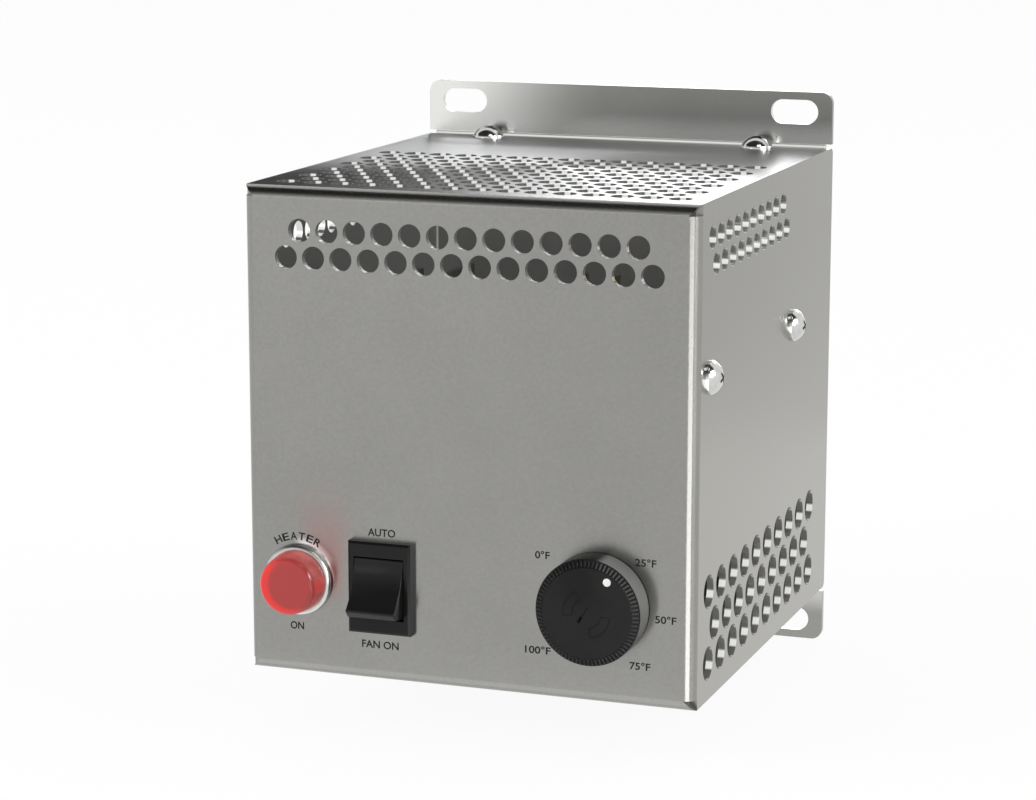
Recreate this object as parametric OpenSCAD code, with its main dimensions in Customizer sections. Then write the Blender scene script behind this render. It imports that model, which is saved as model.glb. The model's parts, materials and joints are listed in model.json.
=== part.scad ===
// Fan-forced enclosure heater: a folded steel box with mounting flanges, vents and front controls.
// Frame: X to the right, Z up, the front faces -Y, and Y = 0 is the mounting plane behind the flanges.
// The origin is the centre of the four mounting slots.

/* [Housing] */
// Width of the folded housing, side to side
body_w = 102.4; // [100:0.2:130]
// Height of the folded housing without its flanges
body_h = 107.8; // [104:0.2:140]
// Depth from the mounting plane to the front face
body_d = 112.4; // [108:0.2:140]
// Thickness of the housing sheet
sheet_t = 1.5; // [1:0.1:2]
// Inside radius of each housing bend
bend_r = 0.9; // [0.5:0.1:1.5]
// Gap at the seams between folded panels
seam_gap = 0.1; // [0.05:0.05:0.4]
// Corner radius of the side panels behind the flange bends
side_corner_r = 1.6; // [0.8:0.1:3]

/* [Mounting flanges] */
// Height of each flange above or below the housing
flange_h = 13.2; // [12:0.2:20]
// Radius of the flange corners
flange_corner_r = 2.6; // [1:0.1:4]
// Inset of the slot centres from the housing sides
slot_inset = 9.2; // [9:0.1:20]
// Length of a slot, end to end
slot_l = 11.6; // [8:0.1:13]
// Width of a slot
slot_w = 5.8; // [4:0.1:6.5]
// Height of the slot centres above the top panel
slot_rise = 8.4; // [7:0.1:9]

/* [Fine vents] */
// Diameter of the holes in the top, front and upper side vents
vent_d = 5.15; // [3:0.05:5.4]
// Pitch of the holes along a row
vent_pitch = 6.35; // [6:0.05:6.5]
// Spacing of the rows
vent_row = 5.87; // [5.6:0.01:6.2]
// Least distance of the top vent from the housing sides
top_vent_margin = 6.5; // [6:0.1:12]
// Plain depth behind the top vent
top_vent_rear = 44.5; // [30:0.5:60]
// First row of the top vent behind the front face
top_vent_setback = 8.8; // [7:0.1:14]
// Least distance of the front vent from the housing sides
front_vent_margin = 9.8; // [8:0.1:16]
// Upper row of the front vent below the top panel
front_vent_drop = 9.4; // [8:0.1:14]
// Plain depth behind the upper side vents
side_vent_rear = 42; // [30:0.5:60]
// First hole of the upper side vents behind the front face
side_vent_setback = 9.8; // [8:0.1:16]
// Upper row of the side vents below the top panel
side_vent_drop = 7.8; // [6:0.1:12]

/* [Intake vents] */
// Diameter of the holes in the lower side vents
intake_d = 7.5; // [5:0.1:8]
// Pitch of the intake holes along a row
intake_pitch = 9.5; // [9:0.1:10]
// Spacing of the intake rows
intake_row = 7.9; // [7.6:0.1:9]
// Plain depth behind the intake vents
intake_rear = 16.5; // [14:0.5:40]
// First intake hole behind the front face
intake_setback = 10.1; // [9:0.1:16]
// Lowest intake row above the bottom panel
intake_rise = 8.2; // [7:0.1:12]

/* [Housing screws] */
// Diameter of a pan head
head_d = 7.5; // [6:0.1:7.5]
// Height of a pan head
head_h = 2.4; // [1.6:0.1:3]
// Height of the head of a case screw
case_head_h = 2.9; // [2.4:0.1:3.4]
// Height of the straight rim under the dome of a case screw
case_head_rim = 0.6; // [0.2:0.1:1]
// Diameter of a screw shank
shank_d = 3.9; // [3:0.1:4.2]
// Length of a housing screw under its head
shank_l = 7; // [5:0.5:9]
// Radial clearance of a screw in its hole
screw_clear = 0.15; // [0.05:0.05:0.4]
// Distance of the top and bottom screws from the mounting plane
rear_screw_setback = 6.2; // [6.2:0.1:9]
// Inset of the top and bottom screws from the housing sides
rear_screw_inset = 17.1; // [12:0.1:30]
// Front side screw behind the front face
side_screw_setback = 8.9; // [8:0.1:12]
// Spacing of the two screws on one side
side_screw_pitch = 68.5; // [66:0.1:74]

/* [Back plate] */
// Thickness of the inner sheets: back plate, shelf and brackets
inner_t = 1.2; // [0.8:0.1:1.6]
// Clearance of the inner sheets to the housing sides
side_clear = 0.3; // [0.1:0.05:0.6]
// Depth of the tabs of the back plate
tab_depth = 12; // [10:0.5:18]

/* [Fan shelf] */
// Gap between the control body and the fan's nuts
fan_clear = 2.1; // [1:0.1:6]
// Height of the side screws above the shelf
shelf_screw_rise = 7; // [5:0.5:9]
// Height of the shelf sides above the shelf
shelf_side_h = 12; // [11:0.5:18]
// Gap between the shelf and the front panel
shelf_front_gap = 1; // [0.5:0.1:2]
// Gap between the shelf and the back plate, for the wiring
shelf_rear_gap = 12.5; // [8:0.5:14]

/* [Fan] */
// Side of the square fan frame
fan_size = 80; // [76:1:80]
// Height of the fan frame
fan_t = 20; // [18:1:21]
// Spacing of the fan's mounting holes
fan_hole_pitch = 71.5; // [69:0.5:72]
// Diameter of the fan duct
fan_bore_d = 76; // [70:0.5:77]
// Wall of the fan duct
fan_wall = 1.5; // [1:0.1:2]
// Thickness of the mounting flanges of the fan frame
fan_flange_t = 3.6; // [2.5:0.1:5]
// Outside diameter of the rotor hub
rotor_hub_d = 32.4; // [28:0.2:38]
// Number of rotor blades
blade_n = 7; // [5:1:9]
// Pitch angle of a blade from the horizontal
blade_angle = 38; // [25:1:45]
// Thickness of a blade
blade_t = 1.6; // [1:0.1:2]
// Gap between the blade tips and the duct
tip_gap = 1; // [0.6:0.1:2]
// Diameter of the fan shaft
fan_shaft_d = 3; // [2:0.1:4]
// Radial running clearance of the shafts and pins
run_clear = 0.05; // [0.02:0.01:0.08]

/* [Heating element] */
// Diameter of the heating tube
tube_d = 6.5; // [5:0.1:8]
// Spacing of the two legs of the heating tube
tube_pitch = 26; // [22:0.5:28]
// Height of the heating tube above the shelf
tube_rise = 9.5; // [9:0.5:12]
// Diameter of a fin
fin_d = 14; // [10:0.5:16]
// Thickness of a fin
fin_t = 0.6; // [0.4:0.1:1]
// Number of fins on each leg
fin_n = 12; // [6:1:14]

/* [Control panel] */
// Height of the control line above the bottom panel
control_rise = 21.3; // [18:0.1:24]
// Inset of the dial from the right side
dial_inset = 21.6; // [18:0.1:26]
// Height of the dial above the control line
dial_lift = 0.3; // [0:0.1:1]
// Distance from the pilot lamp to the rocker switch
switch_pitch = 19.7; // [17:0.1:24]
// Inset of the pilot lamp from the left side
lamp_inset = 12; // [11.6:0.1:14]

/* [Dial] */
// Diameter of the knob
knob_d = 23.2; // [20:0.1:26]
// Height of the knob
knob_h = 6.6; // [6:0.1:9]
// Gap between the knob and the front panel
knob_gap = 0.6; // [0.3:0.1:1]
// Diameter of the flat face of the knob
knob_face_d = 20; // [17:0.1:20.8]
// Number of flutes round the knob
flute_n = 72; // [40:2:80]
// Angle of the pointer dot clockwise from the top
pointer_angle = 32; // [-45:1:200]
// Distance of the pointer dot from the knob axis
pointer_r = 8.4; // [6:0.1:8.6]
// Diameter of the pointer dot
pointer_d = 1.8; // [1:0.1:2.4]
// Diameter of the control shaft
control_shaft_d = 6; // [5:0.1:6.35]
// Diameter of the control bushing
bushing_d = 9.5; // [8.5:0.1:10]
// Side of the square control body
control_size = 29; // [24:0.5:30]
// Depth of the control body
control_depth = 21; // [16:0.5:26]

/* [Rocker switch] */
// Width of the switch bezel
bezel_w = 14.5; // [14.2:0.1:15]
// Height of the switch bezel
bezel_h = 20.4; // [20:0.1:22]
// Height of the switch bezel over the front panel
bezel_t = 2.2; // [2:0.1:2.4]
// Width of the rocker
rocker_w = 11; // [9:0.1:11]
// Height of the opening for the rocker
rocker_open_h = 13.8; // [13.6:0.1:14.4]
// Clearance between the rocker and its opening
rocker_clear = 0.3; // [0.2:0.05:0.4]
// Diameter of the rocker pins
rocker_pin_d = 2.4; // [1.6:0.1:2.6]
// Depth of the switch body behind the front panel
switch_depth = 17; // [14:0.5:22]

/* [Pilot lamp] */
// Outside diameter of the lamp bezel
lamp_bezel_d = 15.8; // [15.4:0.1:16.4]
// Height of the lamp bezel over the front panel
lamp_bezel_h = 1.7; // [1.2:0.1:2.4]
// Diameter of the lens
lens_d = 13.8; // [13:0.1:14]
// Height of the lens over its bezel
lens_h = 5.8; // [4:0.1:8]
// Wall of the lens
lens_wall = 1; // [0.8:0.1:2]
// Diameter of the threaded barrel behind the bezel
barrel_d = 12.2; // [11:0.1:12.6]
// Length of the barrel behind the front face
barrel_l = 16; // [12:0.5:20]

/* [Wiring] */
// Number of ways in the terminal block
block_ways = 4; // [3:1:5]
// Pitch of the terminal ways
block_pitch = 11; // [9:0.5:12]
// Diameter of the wiring hole in the bottom panel
entry_d = 22.2; // [16:0.1:24]
// Inset of the wiring hole from the right side
entry_inset = 26.2; // [20:0.1:40]
// Distance of the wiring hole from the mounting plane
entry_setback = 28; // [26:0.5:34]

/* [Hidden] */
$fn = 48;

// Planes and centres that the pieces share
bend_out = bend_r + sheet_t;
front_y = -body_d;
front_in = front_y + sheet_t;
top_z = body_h / 2;
top_in = top_z - sheet_t;
side_x = body_w / 2;
inner_x = side_x - sheet_t;
panel_x = inner_x - seam_gap;
bend_lap = 0.6;
slot_x = side_x - slot_inset;
slot_z = top_z + slot_rise;
rear_screw_x = side_x - rear_screw_inset;
entry_x = side_x - entry_inset;
dial_x = side_x - dial_inset;
lamp_x = lamp_inset - side_x;
switch_x = lamp_x + switch_pitch;
control_z = control_rise - top_z;
dial_z = control_z + dial_lift;

// Holes that fit in each vent
top_vent_n = floor((body_w - 2 * top_vent_margin) / vent_pitch) + 1;
top_vent_rows = floor((body_d - top_vent_setback - top_vent_rear) / vent_row) + 1;
front_vent_n = floor((body_w - 2 * front_vent_margin) / vent_pitch) + 1;
side_vent_n = floor((body_d - side_vent_setback - side_vent_rear) / vent_pitch - 0.5) + 1;
intake_n = floor((body_d - intake_setback - intake_rear) / intake_pitch) + 1;

// Inner sheets
inner_bend_out = bend_r + inner_t;
plate_top = top_in - seam_gap;
plate_half = inner_x - side_clear;
nut_h = 3.2;
nut_d = 8.1;
screw_tail = 1;
shelf_z = dial_z + control_size / 2 + fan_clear + screw_tail + nut_h + fan_t + inner_t;
shelf_half = inner_x - seam_gap;
shelf_front = front_in + shelf_front_gap;
shelf_rear = -inner_t - shelf_rear_gap;
side_screw_z = shelf_z + shelf_screw_rise;
side_screw_y = front_y + side_screw_setback;

// Fan
fan_y = side_screw_y + side_screw_pitch / 2;
fan_top = shelf_z - inner_t;
fan_bottom = fan_top - fan_t;
fan_hub_t = 2.5;
hub_gap = 0.8;
strut_w = 4;
rotor_wall = 1.2;
rotor_sink = 2.4;
rotor_cap = 2;
rotor_bottom = fan_bottom + fan_hub_t + hub_gap;
rotor_top = fan_top - rotor_sink;
blade_base = rotor_bottom + 1;
blade_r = fan_bore_d / 2 - tip_gap;
stator_r = rotor_hub_d / 2 - rotor_wall - hub_gap - 0.4;
stator_top = rotor_top - rotor_cap - hub_gap - 0.4;
stator_slot = 2.4;
shaft_cover = 0.8;
shaft_rest = 0.4;

// Heating element
tube_z = shelf_z + tube_rise;
element_gap = 1.15;
pin_gap = 4.4;
bush_l = 4;
pin_l = 6;
pin_d = 2.8;
bush_wall = 0.8;
bend_x = tube_pitch / 2 + tube_d / 2 + element_gap + inner_t - shelf_half;
tube_end = shelf_half - inner_t - pin_gap - bush_l - pin_l;
bracket_x = -bend_x - 1.4;
bracket_screw = fan_hole_pitch / 2;
bracket_foot = 11;
bracket_edge = 3.5;
fin_gap = 3.5;

// High-limit switch
limit_d = 15;
limit_h = 7;
limit_pitch = 24;
limit_plate_t = 0.8;
limit_plate_w = 7;
limit_tab_x = 4;
limit_y = (fan_y + fan_size / 2 + shelf_rear) / 2;

// Dial
knob_back = front_y - knob_gap;
knob_front = knob_back - knob_h;
knob_chamfer = (knob_d - knob_face_d) / 2;
knob_bevel_h = 0.7;
knob_wall = 1.8;
knob_web = 2.4;
flute_w = 0.48;
flute_l = 3;
nut_t = 1.8;
dial_nut_d = 14.4;
thread_tail = 0.6;
bushing_out = nut_t + thread_tail;
knob_hub_back = front_y - bushing_out - 0.4;
shaft_tip = knob_front + 1;
shaft_seat = front_in + 7.6;
pointer_depth = 0.4;
control_tab_x = 8;

// Rocker switch
pivot_out = 0.5;
pivot_y = front_y - pivot_out;
rocker_half = rocker_w / 2;
rocker_reach = rocker_open_h / 2 - rocker_clear;
rocker_back = 4.5;
rocker_root = 5;
rocker_heel = 0.4;
dish_r = 9.4;
dish_z = 4.5;
lip_rise = 5.2;
lip_drop = 4.3;
lip_h = 1.4;
lip_in = 1.2;
lip_round = 0.5;
open_half = rocker_half + rocker_clear;
bezel_bevel_w = 0.5;
bezel_lap = 0.5;
cut_w = bezel_w - 2 * bezel_lap;
cut_h = bezel_h - 2 * bezel_lap;
cut_clear = 0.1;
pin_end = 0.6;
switch_floor = 6;
switch_tab_pitch = 6;

// Pilot lamp
lens_seat = front_y - lamp_bezel_h;
lens_taper = 0.5;
lens_fillet = 1.1;
barrel_wall = 1;
barrel_bore = barrel_d - 2 * barrel_wall;
bezel_dome_r = 0.8;
spigot_l = 3;
core_back = 8;
core_gap = 0.3;
bulb_d = 4;
lamp_nut_d = 17.4;
lamp_nut_t = 3;
lamp_tab_x = 3.2;

// Wiring
block_h = 18;
block_depth = 12;
block_step = 4;
block_z = control_z + block_step;
block_w = block_ways * block_pitch + block_step;
block_base_t = 3;
block_ear = 8;
block_screw_z = 4.5;
rib_t = 1.6;
washer_d = 9;
washer_t = 1;
ground_drop = 15;
ground_x = -plate_half / 2;
blade_tab_w = 4.8;
blade_tab_t = 0.8;
tab_l = 7;
tab_hole_d = 1.4;
tab_hole_in = 2.4;
entry_lip = 1.8;
entry_wall = 2.2;
entry_snap = 0.8;
entry_rise = 6;

steel = "#a6a5a0";
zinc = "#c4c4c0";
black = "#242423";

// Shared shapes

// Turns a drawing in X and Y to face the front, with its thickness from y towards the front
module facing_front(y, t) {
    translate([0, y, 0]) rotate([90, 0, 0]) linear_extrude(t) children();
}

// Turns a drawing in Y and Z to face right, with its thickness from x to the right
module facing_right(x, t) {
    translate([x, 0, 0]) rotate([90, 0, 90]) linear_extrude(t) children();
}

// Turns a shape built along Z to point to the front from the point x, y, z
module to_front(x, y, z) {
    translate([x, y, z]) rotate([90, 0, 0]) children();
}

// Both copies of a shape, left and right
module both_sides() {
    children();
    mirror([1, 0, 0]) children();
}

// Both copies of a shape, above and below
module both_ends() {
    children();
    mirror([0, 0, 1]) children();
}

module rounded_square(w, h, r) {
    square([w - 2 * r, h], center = true);
    square([w, h - 2 * r], center = true);
    for (x = [-1, 1], y = [-1, 1]) translate([x * (w / 2 - r), y * (h / 2 - r)]) circle(r);
}

// Section of a right-angle bend in the first quadrant
module bend_arc(t) intersection() {
    difference() {
        circle(bend_r + t);
        circle(bend_r);
    }
    square(bend_r + t);
}

// The same section with its ends run a little into the flats
module bend_section(t) {
    bend_arc(t);
    translate([bend_r, -bend_lap]) square([t, bend_lap]);
    translate([-bend_lap, bend_r]) square([bend_lap, t]);
}

// Staggered holes: odd rows start half a pitch along
module vent_field(d, pitch, row, rows, n, odd_n) {
    for (r = [0:rows - 1], i = [0:(r % 2 == 0 ? n : odd_n) - 1])
        translate([(i + (r % 2) / 2) * pitch, r * row]) circle(d = d);
}

// Domed head with a shank, head up, seated on z = 0, with a straight rim under the dome where it has one
module pan_screw(length, tall = head_h, rim = 0) {
    dome_h = tall - rim;
    dome_r = (pow(head_d / 2, 2) + pow(dome_h, 2)) / (2 * dome_h);
    rotate_extrude() intersection() {
        translate([0, tall - dome_r]) circle(dome_r, $fn = 96);
        square([head_d / 2, tall]);
    }
    translate([0, 0, -length]) cylinder(d = shank_d, h = length);
}

// Flat terminal blade that points along +Z
module terminal_tab() {
    translate([-blade_tab_w / 2, -blade_tab_t / 2, 0]) difference() {
        cube([blade_tab_w, blade_tab_t, tab_l]);
        translate([blade_tab_w / 2, -1, tab_l - tab_hole_in]) rotate([-90, 0, 0])
            cylinder(d = tab_hole_d, h = blade_tab_t + 2);
    }
}

// Housing

module front_panel() {
    facing_front(front_in, sheet_t) difference() {
        square([body_w - 2 * bend_out, body_h - 2 * bend_out], center = true);
        translate([-(front_vent_n - 1) / 2 * vent_pitch, top_z - front_vent_drop - vent_row])
            vent_field(vent_d, vent_pitch, vent_row, 2, front_vent_n, front_vent_n - 1);
        translate([dial_x, dial_z]) circle(d = bushing_d + 2 * cut_clear);
        translate([switch_x, control_z]) square([cut_w, cut_h], center = true);
        translate([lamp_x, control_z]) circle(d = barrel_d + 2 * cut_clear);
    }
}

module side_panel() {
    facing_right(inner_x, sheet_t) difference() {
        translate([front_y + bend_out, -top_z]) {
            square([body_d - bend_out - side_corner_r, body_h]);
            translate([0, side_corner_r]) square([body_d - bend_out, body_h - 2 * side_corner_r]);
            for (z = [side_corner_r, body_h - side_corner_r])
                translate([body_d - bend_out - side_corner_r, z]) circle(side_corner_r);
        }
        translate([front_y + side_vent_setback, top_z - side_vent_drop]) mirror([0, 1])
            vent_field(vent_d, vent_pitch, vent_row, 2, side_vent_n, side_vent_n);
        translate([front_y + intake_setback, intake_rise - top_z])
            vent_field(intake_d, intake_pitch, intake_row, 3, intake_n, intake_n - 1);
        for (i = [0, 1]) translate([side_screw_y + i * side_screw_pitch, side_screw_z])
            circle(d = shank_d + 2 * screw_clear);
    }
}

// Top or bottom panel, drawn as the top one
module cover_panel() {
    translate([0, 0, top_in]) linear_extrude(sheet_t) difference() {
        translate([-panel_x, front_y + bend_out]) square([2 * panel_x, body_d - 2 * bend_out]);
        both_sides() translate([rear_screw_x, -rear_screw_setback])
            circle(d = shank_d + 2 * screw_clear);
        children();
    }
}

module flange() {
    facing_front(0, sheet_t) difference() {
        translate([0, top_z + bend_r]) intersection() {
            rounded_square(body_w, 2 * (flange_h - bend_r), flange_corner_r);
            translate([-side_x, 0]) square([body_w, flange_h]);
        }
        both_sides() translate([slot_x, slot_z])
            rounded_square(slot_l, slot_w, slot_w / 2 - 0.001);
    }
    translate([0, -bend_out, top_z + bend_r]) mirror([0, 0, 1])
        facing_right(-panel_x, 2 * panel_x) bend_section(sheet_t);
}

// Bend between the front and the top or bottom panel, drawn as the top one. It starts as wide as the
// front panel and widens on the way round, so that its slanting ends come out at the sides of the housing
module cover_bend() {
    half = side_x - bend_out;
    translate([0, front_y + bend_out, top_z - bend_out]) mirror([0, 1, 0]) intersection() {
        union() {
            facing_right(-panel_x, 2 * panel_x) bend_section(sheet_t);
            facing_right(-side_x, body_w) translate([seam_gap, 0]) intersection() {
                translate([-seam_gap, 0]) bend_arc(sheet_t);
                square(bend_out);
            }
        }
        rotate([90, 0, 0]) linear_extrude(4 * bend_out, center = true) polygon([
            [-half, -bend_lap], [half, -bend_lap], [half, 0],
            [side_x, bend_out], [-side_x, bend_out], [-half, 0]
        ]);
    }
}

// Bend between the front and the right side
module side_bend() {
    length = body_h - 2 * bend_out;
    translate([side_x - bend_out, front_y + bend_out, -length / 2]) mirror([0, 1, 0])
        linear_extrude(length) bend_section(sheet_t);
}

module housing() color(steel) {
    front_panel();
    both_sides() {
        side_panel();
        side_bend();
    }
    both_ends() {
        cover_bend();
        flange();
    }
    cover_panel()
        translate([-(top_vent_n - 1) / 2 * vent_pitch, front_y + top_vent_setback])
            vent_field(vent_d, vent_pitch, vent_row, top_vent_rows, top_vent_n, top_vent_n - 1);
    mirror([0, 0, 1]) cover_panel()
        translate([entry_x, -entry_setback]) circle(d = entry_d);
}

module back_plate() color(steel) difference() {
    union() {
        facing_front(0, inner_t)
            square([2 * plate_half, 2 * (plate_top - inner_bend_out)], center = true);
        both_ends() {
            translate([0, -inner_bend_out, plate_top - inner_bend_out])
                facing_right(-plate_half, 2 * plate_half) bend_section(inner_t);
            translate([-plate_half, -tab_depth, plate_top - inner_t])
                cube([2 * plate_half, tab_depth - inner_bend_out, inner_t]);
        }
    }
    both_sides() translate([rear_screw_x, -rear_screw_setback, -body_h])
        cylinder(d = shank_d + screw_clear, h = 2 * body_h);
    block_holes() cylinder(d = shank_d + screw_clear, h = 3 * inner_t, center = true);
    ground_place() cylinder(d = shank_d + screw_clear, h = 3 * inner_t, center = true);
}

module rear_screw_pair() {
    both_sides() translate([rear_screw_x, -rear_screw_setback, top_z])
        pan_screw(shank_l, case_head_h, case_head_rim);
}

module top_screws() color(zinc) rear_screw_pair();

module bottom_screws() color(zinc) mirror([0, 0, 1]) rear_screw_pair();

module side_screws() color(zinc) both_sides() for (i = [0, 1])
    translate([side_x, side_screw_y + i * side_screw_pitch, side_screw_z])
        rotate([0, 90, 0]) pan_screw(shank_l, case_head_h, case_head_rim);

// Fan shelf and fan

// The four corners of the fan's hole pattern, at height z
module fan_corners(z) {
    for (x = [-1, 1], y = [-1, 1])
        translate([x * fan_hole_pitch / 2, fan_y + y * fan_hole_pitch / 2, z]) children();
}

module fan_shelf() color(zinc) difference() {
    translate([0, shelf_rear, 0]) rotate([90, 0, 0]) linear_extrude(shelf_rear - shelf_front) {
        translate([-shelf_half + inner_bend_out, shelf_z - inner_t])
            square([2 * (shelf_half - inner_bend_out), inner_t]);
        both_sides() {
            translate([shelf_half - inner_bend_out, shelf_z + bend_r]) mirror([0, 1]) bend_section(inner_t);
            translate([shelf_half - inner_t, shelf_z + bend_r])
                square([inner_t, shelf_side_h - bend_r]);
        }
    }
    translate([0, fan_y, shelf_z]) cylinder(d = fan_bore_d, h = 3 * inner_t, center = true, $fn = 96);
    fan_corners(shelf_z) cylinder(d = shank_d + 2 * screw_clear, h = 3 * inner_t, center = true);
    for (i = [0, 1]) translate([0, side_screw_y + i * side_screw_pitch, side_screw_z])
        rotate([0, 90, 0]) cylinder(d = shank_d + screw_clear, h = body_w, center = true);
    limit_ears() cylinder(d = shank_d + screw_clear, h = 3 * inner_t, center = true);
}

module fan_frame() color(black) difference() {
    translate([0, fan_y, fan_bottom]) {
        difference() {
            union() {
                for (z = [0, fan_t - fan_flange_t]) translate([0, 0, z])
                    linear_extrude(fan_flange_t) rounded_square(fan_size, fan_size, 4);
                cylinder(d = fan_bore_d + 2 * fan_wall, h = fan_t, $fn = 96);
            }
            translate([0, 0, -1]) cylinder(d = fan_bore_d, h = fan_t + 2, $fn = 96);
        }
        cylinder(d = rotor_hub_d, h = fan_hub_t);
        intersection() {
            for (a = [0:90:270]) rotate(a + 20)
                translate([0, -strut_w / 2, 0]) cube([fan_size / 2, strut_w, fan_hub_t]);
            cylinder(d = fan_bore_d + fan_wall, h = fan_hub_t);
        }
    }
    fan_corners(fan_bottom - 1) cylinder(d = shank_d + 2 * screw_clear, h = fan_t + 2);
    translate([0, fan_y, fan_bottom - 1]) cylinder(d = fan_shaft_d + 2 * run_clear, h = fan_hub_t + 2);
}

module fan_stator() color("#8a4a22") difference() {
    translate([0, fan_y, fan_bottom + fan_hub_t])
        cylinder(r = stator_r, h = stator_top - fan_bottom - fan_hub_t);
    translate([0, fan_y, fan_bottom]) cylinder(d = fan_shaft_d + 2 * run_clear, h = fan_t);
    for (a = [0:60:300]) translate([0, fan_y, fan_bottom + fan_hub_t + rotor_wall]) rotate(a)
        translate([stator_r - stator_slot, -stator_slot / 2, 0]) cube([2 * stator_slot, stator_slot, fan_t]);
}

module fan_shaft() color(zinc)
    translate([0, fan_y, fan_bottom + shaft_rest])
        cylinder(d = fan_shaft_d, h = rotor_top - shaft_cover - fan_bottom - shaft_rest);

// One pitched blade, cut to the ring between the hub and the duct
module rotor_blade() {
    chord = (rotor_top - blade_base) / sin(blade_angle);
    translate([0, 0, (rotor_top + blade_base) / 2]) rotate([blade_angle, 0, 0])
        translate([0, -chord / 2, -blade_t / 2]) cube([fan_bore_d, chord, blade_t]);
}

module fan_rotor() color(black) translate([0, fan_y, 0]) {
    difference() {
        translate([0, 0, rotor_bottom]) cylinder(d = rotor_hub_d, h = rotor_top - rotor_bottom);
        translate([0, 0, rotor_bottom - 1])
            cylinder(d = rotor_hub_d - 2 * rotor_wall, h = rotor_top - rotor_cap - rotor_bottom + 1);
        translate([0, 0, rotor_bottom])
            cylinder(d = fan_shaft_d, h = rotor_top - shaft_cover - rotor_bottom);
    }
    intersection() {
        for (i = [0:blade_n - 1]) rotate(i * 360 / blade_n) rotor_blade();
        difference() {
            translate([0, 0, blade_base]) cylinder(r = blade_r, h = rotor_top - blade_base, $fn = 96);
            translate([0, 0, blade_base - 1])
                cylinder(d = rotor_hub_d - rotor_wall, h = rotor_top - blade_base + 2);
        }
    }
}

// The long screws hold the brackets, the shelf and the fan frame together
module fan_screws() color(zinc) fan_corners(shelf_z + inner_t)
    pan_screw(fan_t + 2 * inner_t + nut_h + screw_tail);

module fan_nuts() color(zinc) fan_corners(fan_bottom - nut_h) difference() {
    cylinder(d = nut_d, h = nut_h, $fn = 6);
    translate([0, 0, -1]) cylinder(d = shank_d + screw_clear, h = nut_h + 2);
}

// Heating element

// The two legs of the element, each along +X from the plane x
module element_legs(x) {
    for (s = [-1, 1]) translate([x, fan_y + s * tube_pitch / 2, tube_z]) rotate([0, 90, 0]) children();
}

module heater_tube() color("#6f665c") {
    element_legs(bend_x) cylinder(d = tube_d, h = tube_end - bend_x);
    translate([bend_x, fan_y, tube_z]) rotate(90)
        rotate_extrude(angle = 180) translate([tube_pitch / 2, 0]) circle(d = tube_d);
}

module heater_fins() color("#8d8579") {
    span = 2 * (bracket_x - fin_gap);
    for (i = [0:fin_n - 1]) element_legs(-span / 2 + i * span / (fin_n - 1) - fin_t / 2) difference() {
        cylinder(d = fin_d, h = fin_t);
        translate([0, 0, -1]) cylinder(d = tube_d + 2 * run_clear, h = fin_t + 2);
    }
}

module heater_bushes() color("ivory") element_legs(tube_end) difference() {
    cylinder(d = tube_d + 2 * bush_wall, h = bush_l);
    translate([0, 0, -1]) cylinder(d = pin_d + 2 * run_clear, h = bush_l + 2);
}

module heater_pins() color(zinc) element_legs(tube_end) cylinder(d = pin_d, h = bush_l + pin_l);

// Bridge-shaped bracket that stands on the right of the fan, with two feet under the fan screws
module element_bracket() {
    foot = bracket_foot;
    rail_h = tube_d + 2 * bracket_edge;
    half = bracket_screw + foot / 2;
    difference() {
        union() {
            facing_right(bracket_x, inner_t) translate([fan_y, 0]) {
                translate([-half, tube_z - rail_h / 2]) square([2 * half, rail_h]);
                for (s = [-1, 1]) translate([s * bracket_screw - foot / 2, shelf_z + inner_bend_out])
                    square([foot, tube_z - shelf_z - inner_bend_out]);
            }
            for (s = [-1, 1]) translate([0, fan_y + s * bracket_screw, 0]) {
                translate([bracket_x + inner_bend_out, foot / 2, shelf_z + inner_bend_out]) rotate([90, 0, 0])
                    linear_extrude(foot) mirror([1, 0]) mirror([0, 1]) bend_section(inner_t);
                translate([bracket_x + inner_bend_out, -foot / 2, shelf_z])
                    cube([bracket_screw + foot / 2 - bracket_x - inner_bend_out, foot, inner_t]);
            }
        }
        element_legs(0) cylinder(d = tube_d + 2 * run_clear, h = body_w);
        fan_corners(shelf_z) cylinder(d = shank_d + 2 * screw_clear, h = 3 * inner_t, center = true);
    }
}

module right_bracket() color(zinc) element_bracket();

module left_bracket() color(zinc) difference() {
    mirror([1, 0, 0]) element_bracket();
    element_legs(-body_w) cylinder(d = tube_d + 2 * run_clear, h = body_w);
}

// High-limit switch on the rear of the shelf

module limit_ears() {
    both_sides() translate([limit_pitch / 2, limit_y, shelf_z]) children();
}

module limit_switch() color("#2f2b28") difference() {
    union() {
        translate([0, limit_y, shelf_z]) cylinder(d = limit_d, h = limit_h);
        translate([0, limit_y, shelf_z]) linear_extrude(limit_plate_t)
            rounded_square(limit_pitch + limit_plate_w, limit_plate_w, limit_plate_w / 2 - 0.1);
    }
    limit_ears() cylinder(d = shank_d + 2 * screw_clear, h = 6 * limit_plate_t, center = true);
}

module limit_tabs() color("#c9a44a") for (s = [-1, 1])
    translate([s * limit_tab_x, limit_y, shelf_z + limit_h]) rotate(90) terminal_tab();

module limit_screws() color(zinc) limit_ears()
    translate([0, 0, limit_plate_t]) pan_screw(limit_plate_t + inner_t + screw_tail);

// Temperature control and knob

module control_body() color("#3a3733") difference() {
    union() {
        to_front(dial_x, front_in + control_depth, dial_z)
            linear_extrude(control_depth) rounded_square(control_size, control_size, 2);
        to_front(dial_x, front_in, dial_z) cylinder(d = bushing_d, h = sheet_t + bushing_out);
    }
    to_front(dial_x, shaft_seat + shaft_rest, dial_z)
        cylinder(d = control_shaft_d + 2 * run_clear, h = body_d);
}

module control_tabs() color("#c9a44a") for (s = [-1, 1])
    translate([dial_x + s * control_tab_x, front_in + control_depth, dial_z])
        rotate([-90, 0, 0]) terminal_tab();

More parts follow.
